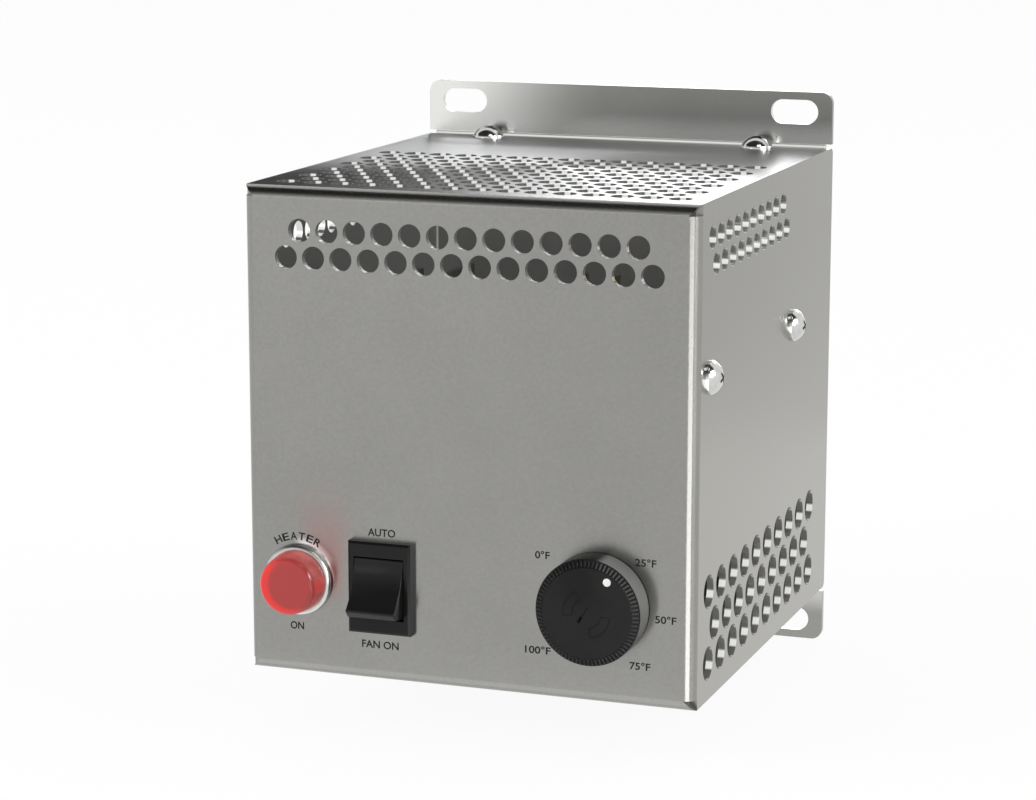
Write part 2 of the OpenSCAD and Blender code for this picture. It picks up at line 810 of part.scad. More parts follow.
module control_nut() color(zinc) to_front(dial_x, front_y, dial_z) difference() {
    cylinder(d = dial_nut_d, h = nut_t, $fn = 6);
    translate([0, 0, -1]) cylinder(d = bushing_d + screw_clear, h = nut_t + 2);
}

module control_shaft() color(zinc) to_front(dial_x, shaft_seat, dial_z)
    cylinder(d = control_shaft_d, h = shaft_seat - shaft_tip);

// Knob outline turned about its axis, from the back at 0 to the face
module knob_section() {
    difference() {
        polygon([[0, 0], [knob_d / 2, 0], [knob_d / 2, knob_h - knob_bevel_h],
                 [knob_face_d / 2, knob_h], [0, knob_h]]);
        square([knob_d / 2 - knob_wall, knob_h - knob_web]);
    }
    hub_back = knob_back - knob_hub_back;
    translate([0, hub_back]) square([bushing_d / 2, knob_h - knob_web - hub_back]);
}

module knob() color(black) difference() {
    to_front(dial_x, knob_back, dial_z) {
        difference() {
            rotate_extrude($fn = 96) knob_section();
            for (i = [0:flute_n - 1]) rotate(i * 360 / flute_n)
                translate([knob_d / 2 - knob_chamfer / 2, -flute_w / 2, knob_h - knob_bevel_h - flute_w])
                    cube([knob_chamfer, flute_w, flute_l]);
        }
    }
    to_front(dial_x, front_y, dial_z) cylinder(d = control_shaft_d, h = front_y - shaft_tip);
    pointer_place() cylinder(d = pointer_d, h = 1);
}

module pointer_place() {
    to_front(dial_x, knob_front + pointer_depth, dial_z)
        rotate(90 - pointer_angle) translate([pointer_r, 0, 0]) children();
}

module knob_dot() color("white") pointer_place() cylinder(d = pointer_d, h = pointer_depth);

// Rocker switch

module switch_body() color(black) difference() {
    union() {
        intersection() {
            to_front(switch_x, front_y, control_z) linear_extrude(bezel_t)
                square([bezel_w, bezel_h], center = true);
            facing_right(-body_w, 2 * body_w) bezel_bevel(bezel_h, front_y, control_z);
            translate([switch_x, front_y, -body_h]) rotate(90) linear_extrude(2 * body_h)
                bezel_bevel(bezel_w, 0, 0);
        }
        to_front(switch_x, front_in + switch_depth, control_z) linear_extrude(switch_depth + sheet_t)
            square([cut_w - 2 * cut_clear, cut_h - 2 * cut_clear], center = true);
    }
    to_front(switch_x, front_in + switch_depth - switch_floor, control_z) linear_extrude(body_d)
        square([2 * open_half, rocker_open_h], center = true);
    rocker_axis() cylinder(d = rocker_pin_d + 2 * run_clear, h = cut_w - pin_end, center = true);
}

// Cross-section of the bevelled bezel along one of its sides
module bezel_bevel(size, y, z) {
    bevel = bezel_bevel_w;
    translate([y, z]) polygon([[0, -size / 2], [0, size / 2], [-bezel_t + bevel, size / 2],
        [-bezel_t, size / 2 - bevel], [-bezel_t, -size / 2 + bevel], [-bezel_t + bevel, -size / 2]]);
}

module rocker_axis() {
    translate([switch_x, pivot_y, control_z]) rotate([0, 90, 0]) children();
}

module switch_tabs() color("#c9a44a") for (i = [-1:1])
    translate([switch_x, front_in + switch_depth, control_z + i * switch_tab_pitch])
        rotate([-90, 0, 0]) terminal_tab();

// Side view of the rocker, pressed in at the top: distances from the front face and the control line
module rocker_section() {
    tip = bezel_t + lip_rise;
    crest = bezel_t + pin_end / 2;
    heel = rocker_heel - rocker_reach;
    difference() {
        polygon([
            [rocker_back, -rocker_root], [rocker_back, rocker_root],
            [0, rocker_reach], [-crest, rocker_reach],
            [-tip, -lip_drop], [-tip + lip_round / 5, -lip_drop - lip_round],
            [-tip + lip_in, -lip_drop - lip_h],
            [-crest, heel], [0, heel]
        ]);
        translate([-bezel_t - dish_r, dish_z]) circle(dish_r, $fn = 96);
    }
}

module rocker() color(black) {
    facing_right(switch_x - rocker_half, rocker_w) translate([front_y, control_z]) rocker_section();
    rocker_axis() cylinder(d = rocker_pin_d, h = cut_w - 2 * pin_end, center = true);
}

// Pilot lamp

module lamp_bezel() color("#dcdcd8") to_front(lamp_x, front_y, control_z) difference() {
    rotate_extrude($fn = 96) {
        intersection() {
            translate([lamp_bezel_d / 2 - bezel_dome_r, lamp_bezel_h - bezel_dome_r]) circle(bezel_dome_r);
            square([lamp_bezel_d / 2, lamp_bezel_h]);
        }
        square([lamp_bezel_d / 2 - bezel_dome_r, lamp_bezel_h]);
        translate([0, -barrel_l]) square([barrel_d / 2, barrel_l]);
    }
    translate([0, 0, -barrel_l - 1]) cylinder(d = barrel_bore, h = barrel_l + lamp_bezel_h + 2);
}

module lamp_lens() color("#c8322e") to_front(lamp_x, lens_seat, control_z) rotate_extrude($fn = 96) {
    spigot_r = barrel_bore / 2 - run_clear;
    tip_r = lens_d / 2 - lens_taper;
    difference() {
        union() {
            polygon([[0, 0], [lens_d / 2, 0], [tip_r, lens_h - lens_fillet],
                     [tip_r - lens_fillet, lens_h], [0, lens_h]]);
            translate([tip_r - lens_fillet, lens_h - lens_fillet]) circle(lens_fillet);
            translate([0, -spigot_l]) square([spigot_r, spigot_l]);
        }
        translate([0, -spigot_l - 1]) square([spigot_r - lens_wall, lens_h - lens_wall + spigot_l + 1]);
    }
}

module lamp_core() color("#3a3733") to_front(lamp_x, front_y, control_z) {
    translate([0, 0, -barrel_l - core_back]) cylinder(d = barrel_d, h = core_back);
    translate([0, 0, -barrel_l])
        cylinder(d = barrel_bore - 2 * run_clear, h = barrel_l + lamp_bezel_h - spigot_l - core_gap);
    translate([0, 0, lamp_bezel_h - spigot_l - 2 * core_gap]) {
        cylinder(d = bulb_d, h = spigot_l + core_gap);
        translate([0, 0, spigot_l + core_gap]) sphere(d = bulb_d);
    }
}

module lamp_nut() color(zinc) to_front(lamp_x, front_in + lamp_nut_t, control_z) difference() {
    cylinder(d = lamp_nut_d, h = lamp_nut_t, $fn = 6);
    translate([0, 0, -1]) cylinder(d = barrel_d + screw_clear, h = lamp_nut_t + 2);
}

module lamp_tabs() color("#c9a44a") for (s = [-1, 1])
    translate([lamp_x + s * lamp_tab_x, front_y + barrel_l + core_back, control_z])
        rotate([-90, 0, 0]) rotate(90) terminal_tab();

// Wiring: terminal block, earth screw and entry bushing

// The two fixing places of the terminal block, on the inside of the back plate
module block_holes() {
    for (s = [-1, 1]) translate([s * (block_w + block_ear) / 2, -inner_t, block_z])
        rotate([90, 0, 0]) children();
}

// The places of the terminal screws on the step of the block
module block_ways_places() {
    for (i = [0:block_ways - 1], s = [-1, 1])
        translate([(i - (block_ways - 1) / 2) * block_pitch, -inner_t - block_depth + block_step,
                   block_z + s * block_screw_z]) rotate([90, 0, 0]) children();
}

module terminal_block() color("#1f1f1e") difference() {
    translate([0, -inner_t, block_z]) {
        facing_front(0, block_depth - block_step) square([block_w, block_h], center = true);
        facing_front(0, block_base_t) square([block_w + 2 * block_ear, block_h / 2], center = true);
        for (i = [0:block_ways]) facing_front(0, block_depth)
            translate([(i - block_ways / 2) * block_pitch, 0]) square([rib_t, block_h], center = true);
    }
    block_holes() cylinder(d = shank_d + 2 * screw_clear, h = 3 * block_base_t, center = true);
    block_ways_places() translate([0, 0, -block_step - 1])
        cylinder(d = shank_d + 2 * screw_clear, h = block_step + 2);
}

module terminal_screws() color("#c9a44a") {
    block_ways_places() pan_screw(block_step);
    block_holes() translate([0, 0, block_base_t]) pan_screw(block_base_t + inner_t - cut_clear);
}

module ground_place() {
    translate([ground_x, -inner_t, block_z - ground_drop]) rotate([90, 0, 0]) children();
}

module ground_screw() color("#4f8f4a") ground_place() {
    cylinder(d = washer_d, h = washer_t);
    translate([0, 0, washer_t]) pan_screw(washer_t + inner_t - cut_clear);
}

// Snap-in bushing that lines the wiring hole of the bottom panel
module entry_bushing() color(black) translate([entry_x, -entry_setback, -top_z]) rotate_extrude() {
    edge = entry_d / 2 - cut_clear;
    translate([edge - entry_wall, -entry_lip]) {
        square([entry_wall + 2, entry_lip]);
        square([entry_wall, entry_lip + sheet_t + entry_rise / 2]);
    }
    translate([edge - entry_wall, sheet_t + side_clear])
        polygon([[0, 0], [entry_wall + entry_snap, 0], [entry_wall, entry_rise / 2], [0, entry_rise / 2]]);
}

housing();
back_plate();
top_screws();
bottom_screws();
side_screws();
fan_shelf();
fan_frame();
fan_stator();
fan_shaft();
fan_rotor();
fan_screws();
fan_nuts();
heater_tube();
heater_fins();
heater_bushes();
heater_pins();
left_bracket();
right_bracket();
limit_switch();
limit_tabs();
limit_screws();
control_body();
control_tabs();
control_nut();
control_shaft();
knob();
knob_dot();
switch_body();
switch_tabs();
rocker();
lamp_bezel();
lamp_lens();
lamp_core();
lamp_nut();
lamp_tabs();
terminal_block();
terminal_screws();
ground_screw();
entry_bushing();
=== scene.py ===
"""Looks of a fan-forced enclosure heater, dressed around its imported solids."""

import json
import logging
import math
from collections.abc import Callable, Iterable, Sequence
from dataclasses import dataclass, field
from enum import Enum
from typing import Any

import bmesh
import bpy
from mathutils import Euler, Matrix, Vector


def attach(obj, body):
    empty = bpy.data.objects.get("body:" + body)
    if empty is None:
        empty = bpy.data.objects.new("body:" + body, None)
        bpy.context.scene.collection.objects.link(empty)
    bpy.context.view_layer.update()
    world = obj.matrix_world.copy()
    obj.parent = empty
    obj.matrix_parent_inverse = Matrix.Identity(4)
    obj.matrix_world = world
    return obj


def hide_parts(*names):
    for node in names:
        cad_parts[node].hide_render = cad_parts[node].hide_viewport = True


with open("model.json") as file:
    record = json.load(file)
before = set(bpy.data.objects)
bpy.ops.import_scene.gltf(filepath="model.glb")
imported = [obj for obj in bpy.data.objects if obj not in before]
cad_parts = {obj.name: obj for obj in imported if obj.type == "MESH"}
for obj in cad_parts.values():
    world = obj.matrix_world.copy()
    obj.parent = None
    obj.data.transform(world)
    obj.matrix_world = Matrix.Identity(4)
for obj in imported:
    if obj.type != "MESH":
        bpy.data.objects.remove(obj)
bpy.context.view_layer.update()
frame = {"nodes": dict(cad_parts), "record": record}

MM = 0.001
LOG = logging.getLogger("heater")

Colour = tuple[float, float, float]
Point = tuple[float, float, float]
Pair = tuple[float, float]

# Housing and control places in mm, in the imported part's frame
HALF_W = 51.2
HALF_H = 53.9
DEPTH = 112.4
KNOB_X, KNOB_Z = 29.6, -32.3
LAMP_X, LAMP_Z = -39.2, -32.6
SWITCH_X, SWITCH_Z = -19.5, -32.6

# Studio places in metres
MIDDLE_Y = -0.06
CARD_Z = -0.0668
FRONT_REACH = 1.6
REAR_REACH = 1.7


class Body(str, Enum):
    """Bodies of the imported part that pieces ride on."""

    CASE = "case"
    KNOB = "knob"
    ROCKER = "rocker"
    ROTOR = "rotor"


# Shader building


class Val:
    """A shader value that takes part in Python arithmetic."""

    def __init__(self, shade: "Shade", socket: bpy.types.NodeSocket) -> None:
        """Keeps a socket and the material that it belongs to.

        Args:
            shade: The material under construction.
            socket: An output socket that gives a number.
        """
        self.shade = shade
        self.socket = socket

    def _do(self, operation: str, *others: "Val | float", flip: bool = False) -> "Val":
        """Adds one Math node.

        Args:
            operation: The Math node's operation.
            others: The other operands.
            flip: Puts this value second.

        Returns:
            The result as a value.
        """
        terms: list[Any] = [self, *others]
        if flip:
            terms.reverse()
        node = self.shade.node("ShaderNodeMath", {"operation": operation}, dict(enumerate(terms)))
        return Val(self.shade, node.outputs[0])

    def __add__(self, other: "Val | float") -> "Val":
        """Sum."""
        return self._do("ADD", other)

    __radd__ = __add__

    def __sub__(self, other: "Val | float") -> "Val":
        """Difference."""
        return self._do("SUBTRACT", other)

    def __rsub__(self, other: float) -> "Val":
        """Difference from a number."""
        return self._do("SUBTRACT", other, flip=True)

    def __mul__(self, other: "Val | float") -> "Val":
        """Product."""
        return self._do("MULTIPLY", other)

    __rmul__ = __mul__

    def __truediv__(self, other: "Val | float") -> "Val":
        """Quotient."""
        return self._do("DIVIDE", other)

    def __pow__(self, other: float) -> "Val":
        """Power."""
        return self._do("POWER", other)

    def __abs__(self) -> "Val":
        """Size without its sign."""
        return self._do("ABSOLUTE")

    def __gt__(self, other: "Val | float") -> "Val":
        """1 where this value is the larger, else 0."""
        return self._do("GREATER_THAN", other)

    def __lt__(self, other: "Val | float") -> "Val":
        """1 where this value is the smaller, else 0."""
        return self._do("LESS_THAN", other)

    def larger(self, other: "Val | float") -> "Val":
        """The larger of two values."""
        return self._do("MAXIMUM", other)

    def root(self) -> "Val":
        """Square root."""
        return self._do("SQRT")

    def ramp(self, low: float, high: float) -> "Val":
        """Smooth step from 0 at low to 1 at high.

        Args:
            low: The value that gives 0.
            high: The value that gives 1.

        Returns:
            The smoothed value.
        """
        node = self.shade.node(
            "ShaderNodeMapRange",
            {"interpolation_type": "SMOOTHSTEP"},
            {"Value": self, "From Min": low, "From Max": high},
        )
        return Val(self.shade, node.outputs["Result"])


class Shade:
    """A node material with a Principled shader."""

    def __init__(self, name: str) -> None:
        """Starts the material.

        Args:
            name: The material's name.
        """
        self.material = bpy.data.materials.new(name)
        self.material.use_nodes = True
        self.tree = self.material.node_tree
        self.tree.nodes.clear()
        self.bsdf = self.node("ShaderNodeBsdfPrincipled")
        self.node("ShaderNodeOutputMaterial", {}, {"Surface": self.bsdf.outputs[0]})

    def node(
        self, kind: str, settings: dict[str, Any] | None = None, inputs: dict[Any, Any] | None = None
    ) -> bpy.types.Node:
        """Adds one node.

        Args:
            kind: The node's type.
            settings: Its settings, set first.
            inputs: Values, sockets or Val objects for its input sockets.

        Returns:
            The node.
        """
        node = self.tree.nodes.new(kind)
        for key, value in (settings or {}).items():
            setattr(node, key, value)
        for key, value in (inputs or {}).items():
            self.feed(node.inputs[key], value)
        return node

    def feed(self, socket: bpy.types.NodeSocket, value: Any) -> None:
        """Links or sets an input socket.

        Args:
            socket: The input socket.
            value: A Val, a socket, a colour or a number.
        """
        if isinstance(value, Val):
            value = value.socket
        if isinstance(value, bpy.types.NodeSocket):
            self.tree.links.new(value, socket)
        elif socket.type == "RGBA" and len(value) == 3:
            socket.default_value = (*value, 1.0)
        else:
            socket.default_value = value

    def surface(self, **sockets: Any) -> None:
        """Sets the Principled shader's sockets, named with underscores for spaces."""
        for key, value in sockets.items():
            self.feed(self.bsdf.inputs[key.replace("_", " ")], value)

    def place(self) -> bpy.types.NodeSocket:
        """The surface point in the part's own frame, in metres."""
        return self.node("ShaderNodeTexCoord").outputs["Object"]

    def split(self, vector: bpy.types.NodeSocket) -> tuple[Val, Val, Val]:
        """The three parts of a vector."""
        node = self.node("ShaderNodeSeparateXYZ", {}, {0: vector})
        return tuple(Val(self, out) for out in node.outputs)

    def in_mm(self, place: bpy.types.NodeSocket) -> tuple[Val, Val, Val]:
        """The three parts of a surface point, in mm."""
        return tuple(part / MM for part in self.split(place))

    def noise(
        self, vector: bpy.types.NodeSocket, scale: float, detail: float = 3.0, rough: float = 0.55
    ) -> Val:
        """Fractal noise from 0 to 1.

        Args:
            vector: The point.
            scale: Cells per metre.
            detail: Octaves.
            rough: Weight of the finer octaves.

        Returns:
            The noise value.
        """
        node = self.node(
            "ShaderNodeTexNoise", {}, {"Vector": vector, "Scale": scale, "Detail": detail, "Roughness": rough}
        )
        return Val(self, node.outputs["Fac"])

    def mix(self, factor: Any, first: Any, second: Any) -> bpy.types.NodeSocket:
        """A colour between two colours.

        Args:
            factor: 0 gives the first colour and 1 the second.
            first: Colour or socket.
            second: Colour or socket.

        Returns:
            The mixed colour.
        """
        node = self.node("ShaderNodeMix", {"data_type": "RGBA"}, {0: factor, 6: first, 7: second})
        return node.outputs[2]

    def bump(self, height: Val, distance: float, strength: float = 1.0) -> bpy.types.NodeSocket:
        """A bumped normal.

        Args:
            height: Height from 0 to 1.
            distance: The height of 1, in metres.
            strength: The bump's strength.

        Returns:
            The normal.
        """
        node = self.node("ShaderNodeBump", {}, {"Height": height, "Distance": distance, "Strength": strength})
        return node.outputs["Normal"]


# Finishes


@dataclass(frozen=True)
class SheetSteel:
    """Satin stainless sheet with bright sheared edges and punched walls; the walls carry painted highlights and
    glow, and the faces painted light, reflections and shade.
    """

    name: str
    face: Colour = (0.311, 0.308, 0.291)
    shade: Colour = (0.282, 0.280, 0.266)
    cut: Colour = (0.62, 0.62, 0.61)
    # Painted highlight and painted glow colours for the punched walls and inner faces
    painted_glint: Colour = (0.72, 0.72, 0.69)
    wall: Colour = (0.07, 0.07, 0.069)
    inside: Colour = (0.045, 0.045, 0.044)
    # Colour of the painted red reflection of the lens
    red: Colour = (0.40, 0.20, 0.19)
    # Colour of the painted light at the flange feet
    bright: Colour = (0.74, 0.74, 0.72)
    # Colour of the painted reflection of the lamp's ring
    white: Colour = (1.0, 1.0, 0.97)
    warm: Colour = (0.308, 0.302, 0.268)
    cool: Colour = (0.302, 0.309, 0.314)
    # Colour of the painted shade towards the top of the sides
    side_top_shade: Colour = (0.22, 0.218, 0.20)
    # Colour of the painted shade on the punched walls of the covers
    hole_wall_shade: Colour = (0.16, 0.16, 0.158)
    cover_blur: float = 0.075
    lamp: Pair = (LAMP_X, LAMP_Z)
    roughness: float = 0.22
    brushed: float = 0.8
    brush_turn: float = 0.25
    grain_h: float = 0.000003
    grain_strength: float = 0.5
    cut_roughness: float = 0.17
    cloud_scale: float = 55.0
    grain_scale: float = 5200.0
    speck_scale: float = 1500.0
    mottle: Pair = (0.3, 0.7)
    grain_blur: float = 0.07
    cloud_blur: float = 0.04
    bend_relief: float = 16.0
    half_w: float = HALF_W
    half_h: float = HALF_H
    depth: float = DEPTH
    sheet: float = 1.5
    bend: float = 2.4
    # Tolerances of the tests for a face, in mm
    skin: float = 0.05
    hair: float = 0.02
    # Room round the punched holes, in mm
    hole_margin: float = 1.2
    slot_top: float = 11.8
    slot_end: float = 1.0
    # Which way a punched wall faces, and which of them get a painted highlight
    wall_limit: float = 0.3
    side_from: Pair = (0.1, 0.22)
    side_to: Pair = (0.5, 0.62)
    cover_front: Pair = (0.9, 0.97)
    cover_from: Pair = (-0.2, -0.1)
    cover_to: Pair = (0.3, 0.42)
    # Painted red reflection of the lens on the front panel
    red_reflection_x: float = 7.8
    red_reflection_lean: float = 0.12
    red_reflection_spread: float = 0.1
    red_reflection_width: Pair = (0.6, 3.6)
    red_reflection_start: Pair = (-6.0, 1.0)
    red_reflection_end: Pair = (4.0, 24.0)
    red_reflection_level: float = 0.55
    # Painted reflection of the lamp's ring on the front panel
    flare_way: Pair = (0.5, 0.87)
    flare_cone: Pair = (0.78, 0.98)
    flare_end: Pair = (8.1, 10.0)
    # Painted light between a flange and the panel before it, and a painted line of light in their bend
    flange_foot: float = 0.6
    flange_fade: Pair = (-46.0, -4.0)
    flange_drop: float = 0.93
    foot_depth: Pair = (-14.0, -4.0)
    foot_rise: Pair = (1.5, 8.0)
    foot_across: Pair = (-40.0, 5.0)
    foot_gain: float = 0.6
    foot_least: float = 0.05
    line_start: Pair = (0.0, 0.2)
    line_end: Pair = (0.4, 0.7)
    # Tints of the sides and covers, and painted shade towards the top of the sides
    tint_share: float = 0.8
    side_shade_rise: Pair = (-5.0, 40.0)
    side_shade_share: float = 0.5

    def red_reflection(self, steel: Shade, place: bpy.types.NodeSocket) -> Val:
        """Painted red reflection of the lens on the front panel.

        Args:
            steel: The material under construction.
            place: The surface point.

        Returns:
            Its strength.
        """
        x, y, z = steel.in_mm(place)
        up = z - self.lamp[1]
        across = abs(x - self.lamp[0] - self.red_reflection_x + up * self.red_reflection_lean)
        across = across / (up.larger(0.0) * self.red_reflection_spread + 1.0)
        reach = up.ramp(*self.red_reflection_start) * (1 - up.ramp(*self.red_reflection_end))
        reach = (1 - across.ramp(*self.red_reflection_width)) * reach
        return reach * (y < -self.depth + self.skin) * self.red_reflection_level

    def flare(self, steel: Shade, place: bpy.types.NodeSocket) -> Val:
        """Painted reflection of the lamp's ring on the front panel, up and to the right.

        Args:
            steel: The material under construction.
            place: The surface point.

        Returns:
            Its strength.
        """
        x, y, z = steel.in_mm(place)
        across, up = x - self.lamp[0], z - self.lamp[1]
        reach = (across**2.0 + up**2.0).root()
        aim = (across * self.flare_way[0] + up * self.flare_way[1]) / reach
        near = 1 - reach.ramp(*self.flare_end)
        return aim.ramp(*self.flare_cone) * near * (y < -self.depth + self.skin)

    def painted_bounce(self, steel: Shade, place: bpy.types.NodeSocket) -> tuple[Val, Val, Val]:
        """Painted light where a flange and the panel before it face each other, and the bends at the front.

        Args:
            steel: The material under construction.
            place: The surface point.

        Returns:
            How much painted light the flange and the panel before it get, 1 in the painted line of light
            in their bend, and 1 on the bends round the front panel.
        """
        x, y, z = steel.in_mm(place)
        rise = abs(z) - self.half_h
        left = (rise > self.flange_foot) * (1 - x.ramp(*self.flange_fade) * self.flange_drop)
        foot = (rise > -self.skin) * y.ramp(*self.foot_depth) * (1 - rise.ramp(*self.foot_rise))
        foot = foot * (x.ramp(*self.foot_across) * self.foot_gain + self.foot_least)
        line = (y > -self.bend - 2 * self.skin) * (y < -self.sheet + self.skin)
        line = line * rise.ramp(*self.line_start) * (1 - rise.ramp(*self.line_end))
        bends = (y < -self.depth + self.bend) * (y > -self.depth + self.hair / 2)
        return left.larger(foot), line, bends

    def masks(self, steel: Shade, place: bpy.types.NodeSocket) -> tuple[Val, Val, Val]:
        """Tells punched walls and inner faces from the outer faces.

        Args:
            steel: The material under construction.
            place: The surface point.

        Returns:
            1 on punched walls, 1 on the part of them that gets a painted highlight, and 1 on inner faces.
        """
        x, y, z = steel.in_mm(place)
        facing = steel.node("ShaderNodeNewGeometry").outputs["Normal"]
        nx, ny, nz = steel.split(facing)
        edge = self.bend + self.hole_margin
        deep = (y > -self.depth + edge) * (y < -edge)
        narrow, low = abs(x) < self.half_w - edge, abs(z) < self.half_h - edge
        inner = abs(x) < self.half_w - self.sheet + self.hair
        inner = inner * (abs(z) < self.half_h - self.sheet + self.hair)
        inner = inner * (y > -self.depth + self.sheet - self.hair) * (y < self.hair)
        in_front = (y < -self.depth + self.sheet) * narrow * low
        in_side = (abs(x) > self.half_w - self.sheet) * deep * low
        in_cover = (abs(z) > self.half_h - self.sheet) * deep * narrow * (abs(z) < self.half_h + self.skin)
        in_flange = (abs(z) > self.half_h + edge) * (abs(z) < self.half_h + self.slot_top)
        in_flange = in_flange * (abs(x) < self.half_w - self.slot_end)
        side = in_side * (abs(nx) < self.wall_limit)
        cover = in_cover * (abs(nz) < self.wall_limit)
        upright = in_front.larger(in_flange) * (abs(ny) < self.wall_limit)
        walls = upright.larger(side).larger(cover)
        # Walls that get a painted highlight
        side_lit = nz.ramp(*self.side_from) * (1 - nz.ramp(*self.side_to))
        cover_lit = nx.ramp(*self.cover_from) * (1 - nx.ramp(*self.cover_to))
        cover_lit = (0 - ny).ramp(*self.cover_front) * cover_lit
        painted_glint = (side * side_lit).larger(cover * cover_lit)
        return walls * (1 - inner), painted_glint * (1 - inner), inner

    def make(self) -> bpy.types.Material:
        """Builds the material."""
        steel = Shade(self.name)
        place = steel.place()
        cloud = steel.noise(place, self.cloud_scale, 3.0)
        grain = steel.noise(place, self.grain_scale, 2.0, 0.7)
        speck = steel.noise(place, self.speck_scale, 3.0, 0.6)
        cut, painted_glint, inner = self.masks(steel, place)
        # Painted glow on the punched walls
        painted_light = steel.mix(cut, (0.0, 0.0, 0.0), self.wall)
        face = steel.mix((cloud * 0.4 + speck * 0.6).ramp(*self.mottle), self.shade, self.face)
        # Painted red reflection of the lens
        face = steel.mix(self.red_reflection(steel, place), face, self.red)
        painted_bounce, line, bends = self.painted_bounce(steel, place)
        # Painted light where the flanges and panels face each other
        face = steel.mix(painted_bounce, face, self.bright)
        # Painted reflection of the lamp's ring
        face = steel.mix(self.flare(steel, place), face, self.white)
        x, y, z = steel.in_mm(place)
        flank = abs(x) > self.half_w - self.skin
        face = steel.mix(flank * self.tint_share, face, self.warm)
        # Painted shade towards the top of the sides
        face = steel.mix(flank * z.ramp(*self.side_shade_rise) * self.side_shade_share, face, self.side_top_shade)
        behind = y > -self.depth + self.bend
        cover = (abs(abs(z) - self.half_h) < self.skin) * behind
        face = steel.mix(cover * (1 - painted_bounce) * self.tint_share, face, self.cool)
        # Painted shade on the punched walls of the covers
        hole = (abs(z) > self.half_h - self.sheet - self.skin) * (abs(z) < self.half_h + self.skin) * behind
        punched = steel.mix(hole, self.cut, self.hole_wall_shade)
        relief = grain * (1 - cut) + speck * bends * self.bend_relief
        blur = grain * self.grain_blur + cloud * self.cloud_blur + cover * self.cover_blur
        uneven = blur + (self.roughness - (self.grain_blur + self.cloud_blur) / 2)
        # The emission paints highlights on the punched walls and in the flange bends, and a painted glow on the
        # walls and inner faces
        steel.surface(
            Base_Color=steel.mix(cut, face, punched),
            Metallic=1.0,
            Roughness=uneven * (1 - cut) + cut * self.cut_roughness,
            Normal=steel.bump(relief, self.grain_h, self.grain_strength),
            Emission_Color=steel.mix(painted_glint.larger(line), steel.mix(inner, painted_light, self.inside), self.painted_glint),
            Emission_Strength=1.0,
            Anisotropic=self.brushed,
            Anisotropic_Rotation=self.brush_turn,
        )
        return steel.material


@dataclass(frozen=True)
class Plating:
    """Plated or plain metal with faint handling marks."""

    name: str
    colour: Colour
    dull: Colour
    roughness: float = 0.15
    marks: float = 0.08
    scale: float = 900.0
    finer: float = 9.0
    dulling: Pair = (0.35, 0.75)

    def make(self) -> bpy.types.Material:
        """Builds the material."""
        metal = Shade(self.name)
        place = metal.place()
        cloud = metal.noise(place, self.scale, 4.0)
        fine = metal.noise(place, self.scale * self.finer, 2.0)
        metal.surface(
            Base_Color=metal.mix(cloud.ramp(*self.dulling), self.colour, self.dull),
            Metallic=1.0,
            Roughness=cloud * self.marks + fine * self.marks * 0.5 + self.roughness,
        )
        return metal.material


@dataclass(frozen=True)
class Moulding:
    """Moulded plastic with a fine eroded grain."""

    name: str
    colour: Colour
    bright: Colour
    roughness: float = 0.4
    grain: float = 4200.0
    depth: float = 0.000006
    sheen: float = 0.2
    cloud_scale: float = 160.0
    mottle: Pair = (0.3, 0.7)
    grain_blur: float = 0.08
    cloud_blur: float = 0.05

    def tint(
        self, plastic: Shade, place: bpy.types.NodeSocket, base: bpy.types.NodeSocket
    ) -> bpy.types.NodeSocket:
        """Lets a special moulding vary its colour by place.

        Args:
            plastic: The material under construction.
            place: The surface point.
            base: The plain colour.

        Returns:
            The colour to use.
        """
        return base

    def make(self) -> bpy.types.Material:
        """Builds the material."""
        plastic = Shade(self.name)
        place = plastic.place()
        cloud = plastic.noise(place, self.cloud_scale, 3.0)
        grain = plastic.noise(place, self.grain, 2.0, 0.65)
        base = plastic.mix((cloud * 0.6 + grain * 0.4).ramp(*self.mottle), self.colour, self.bright)
        plastic.surface(
            Base_Color=self.tint(plastic, place, base),
            Roughness=grain * self.grain_blur + cloud * self.cloud_blur + (self.roughness - 0.06),
            Normal=plastic.bump(grain, self.depth, 0.6),
            Specular_IOR_Level=self.sheen,
        )
        return plastic.material


@dataclass(frozen=True)
class DialPlastic(Moulding):
    """Knob plastic with a painted highlight on the right of its smooth skirt and painted shade on its face
    above the axis.
    """

    axis: Pair = (KNOB_X, KNOB_Z)
    skirt_r: float = 11.42
    front: float = -118.75
    # Colour of the painted highlight on the skirt, and where it lies
    skirt: Colour = (0.21, 0.21, 0.205)
    # Colour of the painted shade above the axis
    dark: Colour = (0.004, 0.004, 0.004)
    lit_right: Pair = (0.12, 0.3)
    lit_up: Pair = (-0.5, 0.6)
    lit_gain: float = 0.72
    lit_least: float = 0.2
    top_shade_way: Pair = (-0.3, 0.95)
    top_shade_start: Pair = (-1.0, 5.0)
    top_shade_width: Pair = (1.0, 5.5)
    top_shade_share: float = 0.6

    def tint(
        self, plastic: Shade, place: bpy.types.NodeSocket, base: bpy.types.NodeSocket
    ) -> bpy.types.NodeSocket:
        """Paints a highlight on the skirt towards the upper right, and paints shade on the face towards its
        top.

        Args:
            plastic: The material under construction.
            place: The surface point.
            base: The plain colour.

        Returns:
            The colour to use.
        """
        x, y, z = plastic.in_mm(place)
        across, up = x - self.axis[0], z - self.axis[1]
        reach = (across**2.0 + up**2.0).root()
        # Painted highlight, strongest towards the upper right
        painted_light = (up / reach).ramp(*self.lit_up) * self.lit_gain + self.lit_least
        painted_light = (across / reach).ramp(*self.lit_right) * painted_light
        # Painted shade in a band above the axis
        lean, rise = self.top_shade_way
        top_shade = (up * rise + across * lean).ramp(*self.top_shade_start)
        top_shade = top_shade * (1 - abs(across * rise - up * lean).ramp(*self.top_shade_width))
        base = plastic.mix(top_shade * self.top_shade_share, base, self.dark)
        return plastic.mix((reach > self.skirt_r) * (y > self.front) * painted_light, base, self.skirt)


